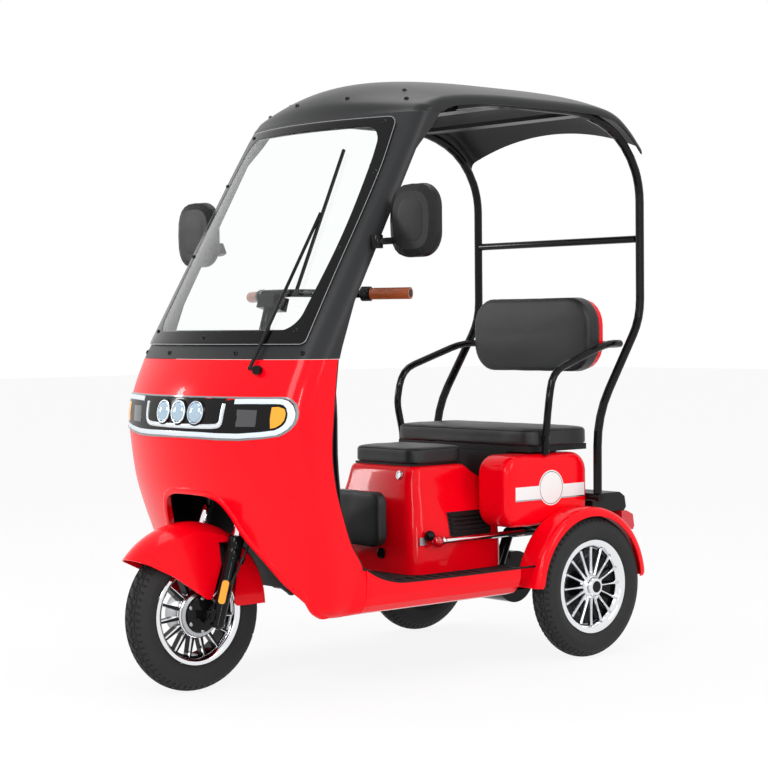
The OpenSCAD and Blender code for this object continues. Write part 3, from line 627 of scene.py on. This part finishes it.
def make_shield():
    levels = (spread(205, 528, 40) + [532, 535, 538, 540, 541.5, 542.5, 543]
              + spread(550, 676, 14) + spread(680, 790, 24) + spread(796, 884.6, 12))
    outer = [cowl_row(SHIELD, z, shield_start(z), 0) for z in levels]
    inner = [cowl_row(SHIELD, z, shield_start(z), -4.5) for z in levels]
    b = Build()
    b.shell(outer, inner, RED, BLACK)
    b.mirrored()
    # rolled lip round the arch
    edge = [(arch_half(z), z) for z in spread(206, 536, 60) + [538, 540, 541.4, 542.3, 542.9]]
    edge = edge + [(0, 543)] + [(-x, z) for x, z in reversed(edge)]
    profile = [(-17, 0.3), (-14, 1.8), (-8, 3.2), (-2, 2.6), (1.4, 0.2), (2.4, -4), (2.6, -22),
               (0.2, -23), (-0.4, -5), (-4, -4)]
    band(b, edge, profile, RED)
    b.piece("shield", "root", ["front_shield"], "red_gloss", angle=50)
    # panel that joins the shield to the sill
    rows = []
    for z in spread(206, 331, 26):
        x, w, y = sill_x(z), at(SHIELD, z, 2), at(SHIELD, z, 4)
        bend = [(w + (x - w) * t * t * (3 - 2 * t), y + (297 - y) * t, z) for t in (0.25, 0.5, 0.75, 1)]
        rows.append([(w + 0.2, y - 6, z), (w + 0.1, y, z)] + bend + [(x, 310 if z < 318 else 300, z)])
    c = Build()
    c.grid(rows, RED)
    c.mirrored().piece("sill_joint", "root", slot="red_gloss", angle=60)
    # black strip along the rear edges
    t = Build()
    rear = [(at(SHIELD, z, 2) - 3.2, at(SHIELD, z, 4) + 2.0, z) for z in spread(331, 884, 40)]
    t.tube(rear, 3.2, BLACK_GLOSS, 10)
    sill = [(379, 292, 330), (379, 318, 316), (379, 346, 303), (379, 388, 292), (378, 430, 286)]
    t.tube(smoothed([rear[0]] + sill + [(377, 960 + SHIFT, 285)], 4), 3.4, BLACK_GLOSS, 10)
    fold = ((2, 2), (8, 4), (46, 4))
    inner_edge = [[(at(SHIELD, z, 2) - x, at(SHIELD, z, 4) + y, z) for x, y in fold]
                  for z in spread(331, 884, 40)]
    t.grid(inner_edge, DARK)
    t.mirrored().piece("shield_edges", "root", slot="black_plastic")


def make_lamp():
    b = Build()
    patch(b, lamp_outline(0.5), 0.9, BLACK_GLOSS, rings=30, edge=2)
    ring = lamp_outline()
    # raised rim round the lamp, painted lighter grey as a highlight
    rim = [(-2.2, -2), (-2.2, 2.4), (-1.2, 3.4), (1.2, 3.4), (2.2, 2.2), (2.2, -2)]
    fine = []
    for p, q in zip(ring, ring[1:] + ring[:1]):
        fine += [(p[0] + (q[0] - p[0]) * u, p[1] + (q[1] - p[1]) * u) for u in (0, 0.34, 0.67)]
    band(b, fine, rim, PAINTED_EDGE_HIGHLIGHT, closed=True)
    # light strip that runs along the bottom and round both ends
    end = lamp_outline(9)
    half_path = [(204, 777)] + [q for q in end if q[0] > 240 or q[0] > 0 and q[1] < 740]
    strip = half_path + [(-x, z) for x, z in reversed(half_path)]
    strip = [((p[0] * (1 - u) + q[0] * u), (p[1] * (1 - u) + q[1] * u))
             for p, q in zip(strip, strip[1:]) for u in (0, 0.25, 0.5, 0.75)] + [strip[-1]]
    flat = [(-6.5, 0), (-6.5, 2), (-5, 3), (5, 3), (6.5, 2), (6.5, 0)]
    band(b, strip, flat, WHITE_LAMP)
    bow = [(170, 771), (168, 735), (163, 716), (140, 711), (0, 710)]
    bow += [(-x, z) for x, z in reversed(bow[:-1])]
    u_path = [(p.x, p.y) for p in smoothed([(x, z, 0) for x, z in bow], 4)]
    band(b, u_path, [(-6, 0), (-6, 2), (-4, 3.6), (4, 3.6), (6, 2), (6, 0)], SILVER)
    band(b, u_path, [(-2.6, 3.5), (-2.2, 4.1), (2.2, 4.1), (2.6, 3.5)], WHITE_LAMP)
    for side in (-1, 1):
        lens = [(316, 764), (334, 765), (348, 760), (352, 748), (350, 732), (343, 721), (330, 713),
                (316, 710), (315, 735)]
        patch(b, [(side * x, z) for x, z in lens], 2.4, AMBER, edge=2)
        box = [(214, 713), (274, 714), (276, 756), (216, 757)]
        patch(b, [(side * x, z) for x, z in box], 2.0, LAMP_BOX, edge=1.2)
    for x in (-72, 0, 72):
        at_face = face_point(x, 746, 0)
        turn = along(at_face, face_point(x, 746, 5) - face_point(x, 746, 1))
        b.lathe([(31, -1), (31.5, 3), (30.5, 5), (28.5, 5), (27.5, 3), (26, -2), (18, -9), (8, -12),
                 (0.01, -12.5)], LENS_METAL, turn, 40)
        b.lathe([(35, -2), (35.5, 1), (33.5, 2.4), (31.4, 1)], BLACK_GLOSS, turn, 40)
        b.lathe([(26.5, 1), (25, 5), (20, 9.5), (13, 12.5), (6, 13.8), (0.01, 14.2)], LENS_DOME, turn, 40)
    b.piece("lamp", "root", ["headlamp", "headlamp_lenses"], "lamp_black", angle=40)


# Screen and roof
BORDER_OFF = 4.8
GLASS_OUT = [[921, 346], [1064, 342], [1376, 335], [1532, 316]]
GLASS_IN = [[957, 303], [1196, 313], [1400, 300], [1508, 282]]


def rounded_side(table, z, r_low, r_high):
    """Half width at a height, its corners rounded."""
    z0, z1 = table[0][0], table[-1][0]
    w = at(table, z)
    for near, r in ((z - z0, r_low), (z1 - z, r_high)):
        if near < r:
            w -= r - math.sqrt(max(r * r - (r - near) ** 2, 0))
    return w


def ring_of(table, r_low, r_high, n=70, m=30):
    """Closed [x, z] outline of a rounded window."""
    z0, z1 = table[0][0], table[-1][0]
    side = [(rounded_side(table, z, r_low, r_high), z)
            for z in [z0 + (z1 - z0) * (1 - math.cos(math.pi * k / (n - 1))) / 2 for k in range(n)]]
    top, low = side[-1][0], side[0][0]
    return (side + [(x, z1) for x in spread(top, -top, m)[1:-1]]
            + [(-x, z) for x, z in reversed(side)] + [(x, z0) for x in spread(-low, low, m)[1:-1]])


def make_screen():
    levels = [885.4, 886.5] + spread(890, 1545, 84)
    outer = [cowl_row(SCREEN, z, 0, 0) for z in levels]
    inner = [cowl_row(SCREEN, z, 0, -5.5) for z in levels]

    def outside(p, q):
        x, z = abs(p[0] + q[0]) / 2, (p[2] + q[2]) / 2
        return not (962 < z < 1502 and x < rounded_side(GLASS_IN, z, 45, 50) + 6)

    b = Build()
    b.shell(outer, inner, DARK, DARK, keep=outside)
    b.mirrored()
    for x, z in [(149, 901), (348, 901)]:
        for side in (-1, 1):
            face_screw(b, side * x, z)
    b.piece("screen_frame", "root", ["windscreen_frame"], "dark_plastic", angle=50)
    g = Build()
    out = ring_of(GLASS_OUT, 14, 26)
    inn = ring_of(GLASS_IN, 45, 50)
    widths = [(z, rounded_side(GLASS_OUT, z, 14, 26)) for z in spread(921, 1532, 90)]
    sheet, back = ([[face_point(x, z, off) for x in spread(-w, w, 41)] for z, w in widths]
                   for off in (4.2, 0.7))
    g.shell(sheet, back, GLASS)
    g.piece("screen_glass", "root", ["windscreen"], "clear_glass", angle=60)
    f = Build()
    rows = []
    for t, off in ((0, 4.5), (0.02, BORDER_OFF), (0.3, BORDER_OFF), (0.7, BORDER_OFF), (1, BORDER_OFF)):
        rows.append([face_point(xo + (xi - xo) * t, zo + (zi - zo) * t, off)
                     for (xo, zo), (xi, zi) in zip(out, inn)])
    f.grid(rows, FRIT, loop=True)
    # thin lighter line round the glass's outer edge: a painted highlight
    edge = [(0, 4.4), (0, 5.0), (0.9, 5.2), (1.8, 5.0), (1.8, 4.4)]
    band(f, out[::-1], edge, PAINTED_EDGE_HIGHLIGHT, closed=True)
    for x, z in [(307, 957), (0, 940), (325, 1376), (286, 1516), (322, 1170)]:
        for side in ((-1, 1) if x else (1,)):
            face_screw(f, side * x, z, BORDER_OFF, 5)
    f.piece("screen_border", "root", slot="lamp_black", angle=50)


def roof_row(k, off):
    """Half of a section of the roof, moved out by off."""
    y, z, b, depth, big, rc = (at(ROOF_ROWS, k, c) for c in (1, 2, 3, 4, 5, 6))
    xc = ROOF_HALF - rc
    turn = math.asin(xc / (big - rc))
    yc = big - (big - rc) * math.cos(turn)
    line = []
    for a in spread(0, turn, 26):
        line.append((math.sin(a) * (big + off), big - math.cos(a) * (big + off)))
    for a in spread(turn, math.pi / 2, 12)[1:]:
        line.append((xc + math.sin(a) * (rc + off), yc - math.cos(a) * (rc + off)))
    line += [(ROOF_HALF + off, d) for d in spread(yc, max(depth, yc + 1), 5)[1:]]
    c, s = math.cos(math.radians(b)), math.sin(math.radians(b))
    return [(x, y + d * c, z - d * s) for x, d in line]


def make_roof():
    b = Build()
    ks = spread(0, 11, 89)
    b.shell([roof_row(k, 0) for k in ks], [roof_row(k, -5) for k in ks], ROOF, ROOF)
    b.mirrored()
    for x, k in [(110, 1.3), (298, 1.5), (250, 2.6)]:
        row = roof_row(k, 0)
        i = min(range(len(row)), key=lambda j: abs(row[j][0] - x))
        p = Vector(row[i])
        n = (Vector(roof_row(k, 3)[i]) - p).normalized()
        for side in (-1, 1):
            screw(b, (side * p.x, p.y, p.z), (side * n.x, n.y, n.z))
    b.piece("roof", "root", ["roof_panel"], "roof_plastic", angle=50)


# Wheels
WALL_H = 71
TREAD_ANGLE, TREAD_HALF = 54, 41
ZIGS, BLOCKS = 44, 66
TYRE_STEPS = 600
FRONT_SPOKES, REAR_SPOKES = 15, 16


def tyre_profile():
    """(radius, sideways, tread share) points across a tyre, bead to bead."""
    half = TYRE_W / 2
    out = [(TYRE_R - WALL_H + 1, -29, 0), (TYRE_R - WALL_H + 5, -33, 0)]
    angles = spread(-128, -56, 18) + spread(-TREAD_ANGLE, TREAD_ANGLE, 73) + spread(56, 128, 18)
    for a in angles:
        c, s = math.cos(math.radians(a)), math.sin(math.radians(a))
        tread = 1 if abs(a) < TREAD_ANGLE else 0
        rib = 0.8 if abs(abs(a) - 88) < 4 or abs(abs(a) - 62) < 2 else 0
        out.append((TYRE_R - half + half * c - 0.8 + rib, (half - 0.8 + rib) * s, tread))
    return out + [(TYRE_R - WALL_H + 5, 33, 0), (TYRE_R - WALL_H + 1, 29, 0)]


def tread_cut(w, turn):
    """Depth of the tread's grooves at w across the tread and turn round the wheel."""
    a = w * TREAD_HALF
    zig = 2.4 * (1 if (turn * ZIGS) % 1 < 0.5 else -1)
    if abs(abs(a) - 10 - zig * (1 if a > 0 else -1)) < 2.0:
        return 4.6
    if abs(abs(a) - 21 + zig * 0.5) < 1.3:
        return 3.6
    if abs(a) > 23:
        return 4.4 if (turn * BLOCKS + (0.2 if a > 0 else 0.6) + abs(a) * 0.012) % 1 < 0.26 else 0
    if abs(a) > 12:
        return 3.2 if (turn * BLOCKS + abs(a) * 0.03) % 1 < 0.2 else 0
    return 2.8 if (turn * ZIGS + a * 0.02) % 1 < 0.16 else 0


def make_tyre(name, node, body, centre):
    prof = tyre_profile()
    rows = []
    for k in range(TYRE_STEPS):
        a = 2 * math.pi * k / TYRE_STEPS
        row = []
        for r, x, tread in prof:
            d = tread_cut(x / TREAD_HALF, k / TYRE_STEPS) if tread else 0
            row.append((centre[0] + x, centre[1] + (r - d) * math.sin(a),
                        centre[2] + (r - d) * math.cos(a)))
        rows.append(row)
    b = Build()
    b.grid(rows + [rows[0]], RUBBER)
    b.piece(name, body, [node], "tyre_rubber", angle=28)


def wheel_frame(centre, side):
    """Local frame of a wheel: Z points outward to the given side."""
    return along(centre, (side, 0, 0), (0, 0, 1))


def make_rim(name, node, body, centre, side, front):
    """Rim with its spokes and hub; the front one has a hub drum."""
    b = Build()
    t = wheel_frame(centre, side)
    fr = TYRE_R - WALL_H
    lip = [(fr - 24, 14), (fr - 18, 26), (fr - 13, 30), (fr - 6, 31), (fr - 1.5, 31),
           (fr, 29.5), (fr, 27), (fr - 4, 26)]
    b.lathe(lip, CHROME, t, 96)
    b.lathe([(fr - 24.5, -30), (fr - 24.5, 14)], BLACK_GLOSS, t, 96)
    b.lathe([(fr, -27), (fr, -30), (fr - 12, -31), (fr - 24.5, -30)], BLACK_GLOSS, t, 96)
    if front:
        for k in range(FRONT_SPOKES):
            turn = t @ Matrix.Rotation(2 * math.pi * k / FRONT_SPOKES, 4, "Z")
            b.prism([(60, -5.5), (fr - 22, -3.5), (fr - 22, 3.5), (60, 5.5)], -6, 20, BLACK_GLOSS, turn)
            b.prism([(58, -6.5), (fr - 21, -4.2), (fr - 21, -2.8), (58, -4.6)], 16, 21.5, CHROME, turn)
        b.lathe([(0.01, -44), (58, -44), (62, -38), (62, 30), (59, 36), (50, 38)], STEEL, t, 64)
        b.lathe([(63.5, 20), (64.5, 24), (63.5, 30), (60, 33), (56, 33)], CHROME, t, 64)
        b.lathe([(50, 38), (48, 45), (40, 47), (24, 47.5), (20, 49), (0.01, 49)], BLACK_GLOSS, t, 48)
        for k in range(6):
            a = 2 * math.pi * k / 6
            screw(b, t @ Vector((43 * math.cos(a), 43 * math.sin(a), 46)), t.to_3x3() @ Vector((0, 0, 1)),
                  STEEL, 4)
    else:
        for k in range(REAR_SPOKES):
            turn = t @ Matrix.Rotation(2 * math.pi * k / REAR_SPOKES, 4, "Z")
            rows = []
            for u in spread(0, 1, 8):
                r = 30 + (fr - 22 - 30) * u
                h = 26 - 8 * u + 6 * u * u
                w = 4.6 - 1.2 * math.sin(math.pi * u)
                rows.append([(r, -w, h - 13), (r, -w, h - 3), (r, -w * 0.4, h), (r, w * 0.4, h),
                             (r, w, h - 3), (r, w, h - 13)])
            b.grid(rows, ALLOY, loop=True, turn=turn)
        b.lathe([(fr - 26, 2), (60, -6), (56, -8), (0.01, -8)], BLACK_GLOSS, t, 64)
        b.lathe([(34, 4), (36, 16), (34, 26), (28, 31), (27, 38), (24, 41.5), (17, 42.5)], CHROME, t, 48)
        b.lathe([(17, 42.5), (16.5, 43.6), (0.01, 44)], BLACK_GLOSS, t, 40)
        for k in range(5):
            a = 2 * math.pi * k / 5
            screw(b, t @ Vector((41 * math.cos(a), 41 * math.sin(a), 20)), t.to_3x3() @ Vector((0, 0, 1)),
                  CHROME, 5)
    b.piece(name, body, [node], "rim_black" if front else "rim_alloy", angle=40)


def make_wheels():
    make_tyre("tyre_front", "front_tyre", "front_wheel", (0, 0, TYRE_R))
    make_rim("rim_front", "front_rim", "front_wheel", (0, 0, TYRE_R), 1, True)
    for side, word in ((1, "left"), (-1, "right")):
        at_wheel = (side * TRACK, WHEELBASE, TYRE_R)
        make_tyre("tyre_rear_" + word, "rear_tyre_" + word, "rear_wheel_" + word, at_wheel)
        make_rim("rim_rear_" + word, "rear_rim_" + word, "rear_wheel_" + word, at_wheel, side, False)


def make_rear_fenders():
    b = Build()
    profile = [(315.6, 221), (315.6, 226), (318, 230), (324, 231.6), (345, 232), (372, 232), (388, 231.4),
               (397, 228.6), (402.5, 223), (404.8, 214), (405, 206), (402.6, 205), (401, 214),
               (398, 221), (392, 225.6), (384, 227), (345, 227.5), (322, 227), (319, 224)]
    centre_y = WHEELBASE - 8
    rows = []
    for a in spread(3.6, 176.4, 73):
        c, s = math.cos(math.radians(a)), math.sin(math.radians(a))
        end = min(a - 3.6, 176.4 - a)
        pull = 6 * max(0, 1 - end / 4) ** 2
        rows.append([(x - (pull if x > 390 else 0), centre_y - r * c, TYRE_R + r * s)
                     for x, r in profile])
    b.grid(rows, RED, loop=True)
    for row in (rows[0], rows[-1]):
        b.add(row, [list(range(len(row)))], RED)
    b.mirrored().piece("fenders_rear", "root", ["rear_fenders"], "red_gloss", angle=50)


# Soft pads
def rounded_rect(half_x, half_y, r, n=8):
    """Rounded rectangle about the origin, with points at most 14 apart."""
    r = min(r, half_x - 1, half_y - 1)
    out = []
    for q, (cx, cy) in enumerate([(1, 1), (-1, 1), (-1, -1), (1, -1)]):
        for i in range(n + 1):
            a = math.radians(90 * q + 90 * i / n)
            out.append((cx * (half_x - r) + r * math.cos(a), cy * (half_y - r) + r * math.sin(a)))
    dense = []
    for p, q in zip(out, out[1:] + out[:1]):
        steps = max(1, int(math.dist(p, q) / 14))
        dense += [(p[0] + (q[0] - p[0]) * k / steps, p[1] + (q[1] - p[1]) * k / steps)
                  for k in range(steps)]
    return dense


def make_pad(name, node, body, centre, half, r, depth, up, right, crown=5.0):
    """Padded piece: its back lies at centre, and up is its soft side."""
    t = along(centre, up, right)
    line = depth * 0.84
    profile = [(5, 0), (1, 2.5), (0, 7), (0, depth * 0.3), (0, depth * 0.55), (0.2, line - 4),
               (0.9, line - 1.4), (3.0, line), (2.0, line + 1.2), (3.2, line + 2.6), (7, depth * 0.945),
               (14, depth * 0.98), (24, depth), (40, depth + crown * 0.4)]
    base = rounded_rect(half[0], half[1], r)
    rows = []
    for inset, h in profile:
        kx, ky = (half[0] - inset) / half[0], (half[1] - inset) / half[1]
        row = []
        for x, y in base:
            pull = 2.0 * math.cos(math.pi * x / (2 * half[0])) * (abs(y) / half[1]) ** 4
            pull_x = 2.0 * math.cos(math.pi * y / (2 * half[1])) * (abs(x) / half[0]) ** 4
            soft = math.sin(math.pi * min(h / depth, 1)) if inset < 10 else 0
            row.append((x * kx - math.copysign(pull_x * soft, x),
                        y * ky - math.copysign(pull * soft, y), h))
        rows.append(row)
    last = rows[-1]
    for s, extra in ((0.75, 0.65), (0.5, 0.85), (0.25, 0.96), (0.001, 1.0)):
        top = depth + crown * (0.4 + 0.6 * (extra - 0.4) / 0.6)
        rows.append([(x * s, y * s, top) for x, y, h in last])
    rows.insert(0, [(x * 0.001, y * 0.001, 0) for x, y, h in rows[0]])
    b = Build()
    b.grid(rows, LEATHER, loop=True, turn=t)
    b.verts = [v + Vector(noise.noise_vector(v * 0.022)) * 0.9 for v in b.verts]
    obj = b.piece(name, body, [node], "black_leather", angle=75)
    return obj


def make_pads():
    make_pad("seat_driver", "driver_seat", "driver_seat_lid", (0, 779, 575.4), (136, 101), 40, 47,
             (0, 0, 1), (1, 0, 0), crown=4)
    make_pad("seat_bench", "bench_cushion", "root", (0, 1117, 618.2), (298, 127), 46, 50, (0, 0, 1),
             (1, 0, 0), crown=5)
    make_pad("backrest", "backrest_pad", "root", (0, 1337.8, 939), (248, 113), 84, 52, (0, -1, 0),
             (1, 0, 0), crown=5)
    make_pad("pad_child", "child_pad", "child_seat", (0, 599.6, 422), (110, 78), 34, 36, (0, -1, 0),
             (1, 0, 0), crown=3)


make_shield()
make_lamp()
make_screen()
make_roof()
make_wheels()
make_rear_fenders()
make_pads()

# Body boxes
BOX = [[268, 618, 980, 200, 46], [330, 622, 980, 198, 44], [400, 630, 980, 188, 42],
       [470, 646, 976, 168, 40], [512, 656, 962, 154, 36], [545, 664, 910, 148, 34],
       [568, 670, 880, 143, 30]]


def plan_ring(y0, y1, half, r, n=10):
    """Rounded rectangle in plan, between two values of Y."""
    out = []
    for q, (cx, cy) in enumerate([(1, 1), (-1, 1), (-1, -1), (1, -1)]):
        for i in range(n + 1):
            a = math.radians(90 * q + 90 * i / n)
            out.append((cx * (half - r) + r * math.cos(a),
                        (y0 + y1) / 2 + cy * ((y1 - y0) / 2 - r) + r * math.sin(a)))
    return out


def make_battery_box():
    b = Build()
    rows = []
    for z, inset in ([(z, 0) for z in spread(269, 552, 44)]
                     + [(556, 0.4), (560, 1.4), (563.5, 3.2), (566.5, 6.5), (568, 12), (568.4, 20)]):
        ring = plan_ring(at(BOX, z, 1) + inset, at(BOX, z, 2) - inset, at(BOX, z, 3) - inset,
                         max(at(BOX, z, 4) - inset, 8))
        rows.append([(x, y + SHIFT, z) for x, y in ring])
    b.grid(rows, RED, loop=True)
    b.piece("box_battery", "root", ["battery_box"], "red_gloss", angle=60)
    v = Build()
    for side in (-1, 1):
        panel = [[(side * (at(BOX, z, 3) + 1.2), y + SHIFT, z) for y in (762, 772, 926)]
                 for z in spread(366, 436, 12)]
        v.grid(panel, BLACK)
        for k in range(4):
            z = 380 + 14 * k
            v.tube([(side * (at(BOX, z, 3) + 1.5), y + SHIFT, z) for y in (782, 800, 900, 918)],
                   [0.5, 3.4, 3.4, 0.5], BLACK_GLOSS, 10)
    v.piece("vent_panels", "root", slot="black_plastic", angle=40)


SIDE_BOX = (868, 1212, 388, 595)
# X and how far the outline is drawn in there
SIDE_BOX_EDGE = [(197, 30), (197.5, 12), (200, 5), (206, 1.5), (214, 0), (250, 0), (284, 0),
                 (294, 0.8), (301, 2.6), (307, 6), (311, 10.5), (313.6, 16), (315, 24), (315.6, 34)]


def make_side_boxes():
    b = Build()
    y0, y1, z0, z1 = SIDE_BOX
    r, cz = 54, (z0 + z1) / 2
    rows = []
    for x, inset in SIDE_BOX_EDGE:
        ring = plan_ring(y0 + inset, y1 - inset, (z1 - z0) / 2 - inset, max(r - inset * 0.6, 12))
        rows.append([(x, y + SHIFT, cz + h) for h, y in ring])
    mid, face = (y0 + y1) / 2, rows[-1]
    for t in (0.66, 0.33, 0.001):
        rows.append([(x, mid + SHIFT + (y - SHIFT - mid) * t, cz + (z - cz) * t) for x, y, z in face])
    b.grid(rows, RED, loop=True)
    b.mirrored()
    b.piece("boxes_side", "root", ["side_boxes"], "red_gloss", angle=60)
    d = Build()
    x = 316.0
    d.add([(x, y + SHIFT, z) for y, z in ((906, 464), (1192, 464), (1192, 505), (906, 505))],
          [[0, 1, 2, 3]], WHITE)
    d.add([(x + 0.1, y + SHIFT, z) for y, z in ((906, 464), (1192, 464), (1192, 468), (906, 468))],
          [[0, 1, 2, 3]], STEEL)
    turn = along((x, 1052 + SHIFT, 497), (1, 0, 0))
    d.lathe([(51, -0.3), (51, 0.3), (0.01, 0.3)], WHITE, turn, 64)
    d.lathe([(47.5, 0.3), (47.3, 0.5), (46, 0.5), (45.8, 0.3)], BLACK, turn, 64)
    d.mirrored().piece("stripe", "root", slot="red_gloss", angle=60)


def make_details():
    b = Build()
    # ball of the side lever and the gear knob
    ball = [(17.5 * math.sin(a), -17.5 * math.cos(a)) for a in spread(0.05, math.pi - 0.05, 20)]
    b.lathe(ball, KNOB_RED, along((222, 688 + SHIFT, 362), (0, 1, 0)), 28)
    b.lathe([(10.5, 0), (11.5, 3), (11.5, 9), (10.2, 12)], CHROME,
            along((222, 704 + SHIFT, 362), (0, 1, 0)), 24)
    b.piece("lever_ball", "root", slot="red_lens", angle=50)
    g = Build()
    knob = [(15 * math.sin(a), -15 * math.cos(a)) for a in spread(0.05, math.pi - 0.05, 18)]
    g.lathe(knob, BLACK_GLOSS, along((208, 672 + SHIFT, 378), (0, 0, 1)), 28)
    g.piece("gear_ball", "root", slot="black_plastic", angle=50)
    # plate of the gear lever, key and filler on the battery box
    k = Build()
    k.block((199.5, 640 + SHIFT, 352), (201.5, 668 + SHIFT, 374), STEEL)
    front = at(BOX, 540, 1) + SHIFT
    k.lathe([(13, 0), (12.5, 2), (9, 3), (8.5, 1.5), (0.01, 1.5)], CHROME,
            along((92, front - 0.5, 544), (0, -1, 0.2)), 28)
    k.lathe([(16, 0), (15.5, 5), (12, 6), (11, 3), (0.01, 3)], BLACK_GLOSS,
            along((60, at(BOX, 320, 1) + SHIFT - 0.5, 322), (0, -1, 0)), 28)
    k.piece("box_fittings", "root", slot="black_plastic", angle=40)


def make_fork_details():
    axis = (0, math.sin(RAKE), math.cos(RAKE))
    t = along((0, FORK_OFFSET, TYRE_R), axis)
    b = Build()
    for side in (-1, 1):
        leg = t @ Matrix.Translation((side * 80, 0, 0))
        b.lathe([(13.4, 208), (14.1, 209), (14.1, 318), (13.4, 319)], CHROME, leg, 36)
        b.lathe([(18.2, 140), (19.4, 150), (22, 158), (22, 176), (20.5, 180), (22, 184), (22, 206),
                 (19, 212), (14.2, 213)], BLACK_GLOSS, leg, 36)
        b.lathe([(18.5, -30), (18.6, 60), (18.5, 142)], BLACK_GLOSS, leg, 36)
        b.lathe([(0.01, -36), (12, -36), (18.5, -30)], BLACK_GLOSS, leg, 36)
        face = leg @ along((side * 14, -12.5, 60), (side * 0.75, -0.66, 0), (0, 0, 1))
        pill = [(x * 0.97, y) for x, y in rounded_rect(36, 11, 9, 5)]
        b.prism(pill, 0, 7, BLACK, face)
        b.prism([(x * 0.9, y * 0.84) for x, y in pill], 6, 9.5, AMBER, face)
    b.piece("fork_dress", "steering", slot="fork_black", angle=40)
    h = Build()
    hose = smoothed([(108, 128, 452), (111, 112, 400), (110, 84, 350), (104, 58, 300), (92, 34, 262),
                     (70, 22, 236), (58, 14, 222)], 6)
    h.tube(hose, 3.2, BLACK, 12)
    h.lathe([(6, -9), (6, 9)], BLACK_GLOSS, along((110, 84, 350), (0.1, 0.5, 1)), 16)
    h.piece("brake_hose", "steering", slot="fork_black", angle=60)


def soft_block(b, t, half, r, profile, look):
    """Rounded rectangle drawn in along a profile of (inset, height)."""
    base = rounded_rect(half[0], half[1], r)
    rows = [[(x * (half[0] - i) / half[0], y * (half[1] - i) / half[1], h) for x, y in base]
            for i, h in profile]
    first, last = ([(x * 0.001, y * 0.001, h) for x, y, h in row] for row in (rows[0], rows[-1]))
    rows = [first] + rows + [last]
    b.grid(rows, look, loop=True, turn=t)


# How far a mirror's outline is drawn in, and how far behind its front that is
MIRROR_EDGE = [(48, 0), (30, 1.4), (14, 5), (5, 11), (1, 17), (0, 23), (0.6, 29), (3, 34), (6, 36.6),
               (8, 37.4), (9, 36.2), (30, 36.2)]


def make_mirrors():
    b = Build()
    for side in (-1, 1):
        t = along((side * 479, 361.4, 1243), (0, 1, 0), (1, 0, 0))
        soft_block(b, t, (88.6, 95.6), 62, MIRROR_EDGE, BLACK)
        b.lathe([(0.01, -18), (15, -18), (16.5, -16), (16.5, 16), (15, 18), (0.01, 18)], BLACK_GLOSS,
                along((side * 388, 326, 1190), (0, 0, 1)), 28)
        b.lathe([(0.01, -16), (13, -16), (14, -14), (14, 14), (13, 16), (0.01, 16)], BLACK_GLOSS,
                along((side * 412, 412, 1198), (side * 0.4, -0.1, 1)), 28)
    b.piece("mirror_heads", "root", slot="black_plastic", angle=50)


make_battery_box()
make_side_boxes()
make_details()
make_fork_details()
make_mirrors()
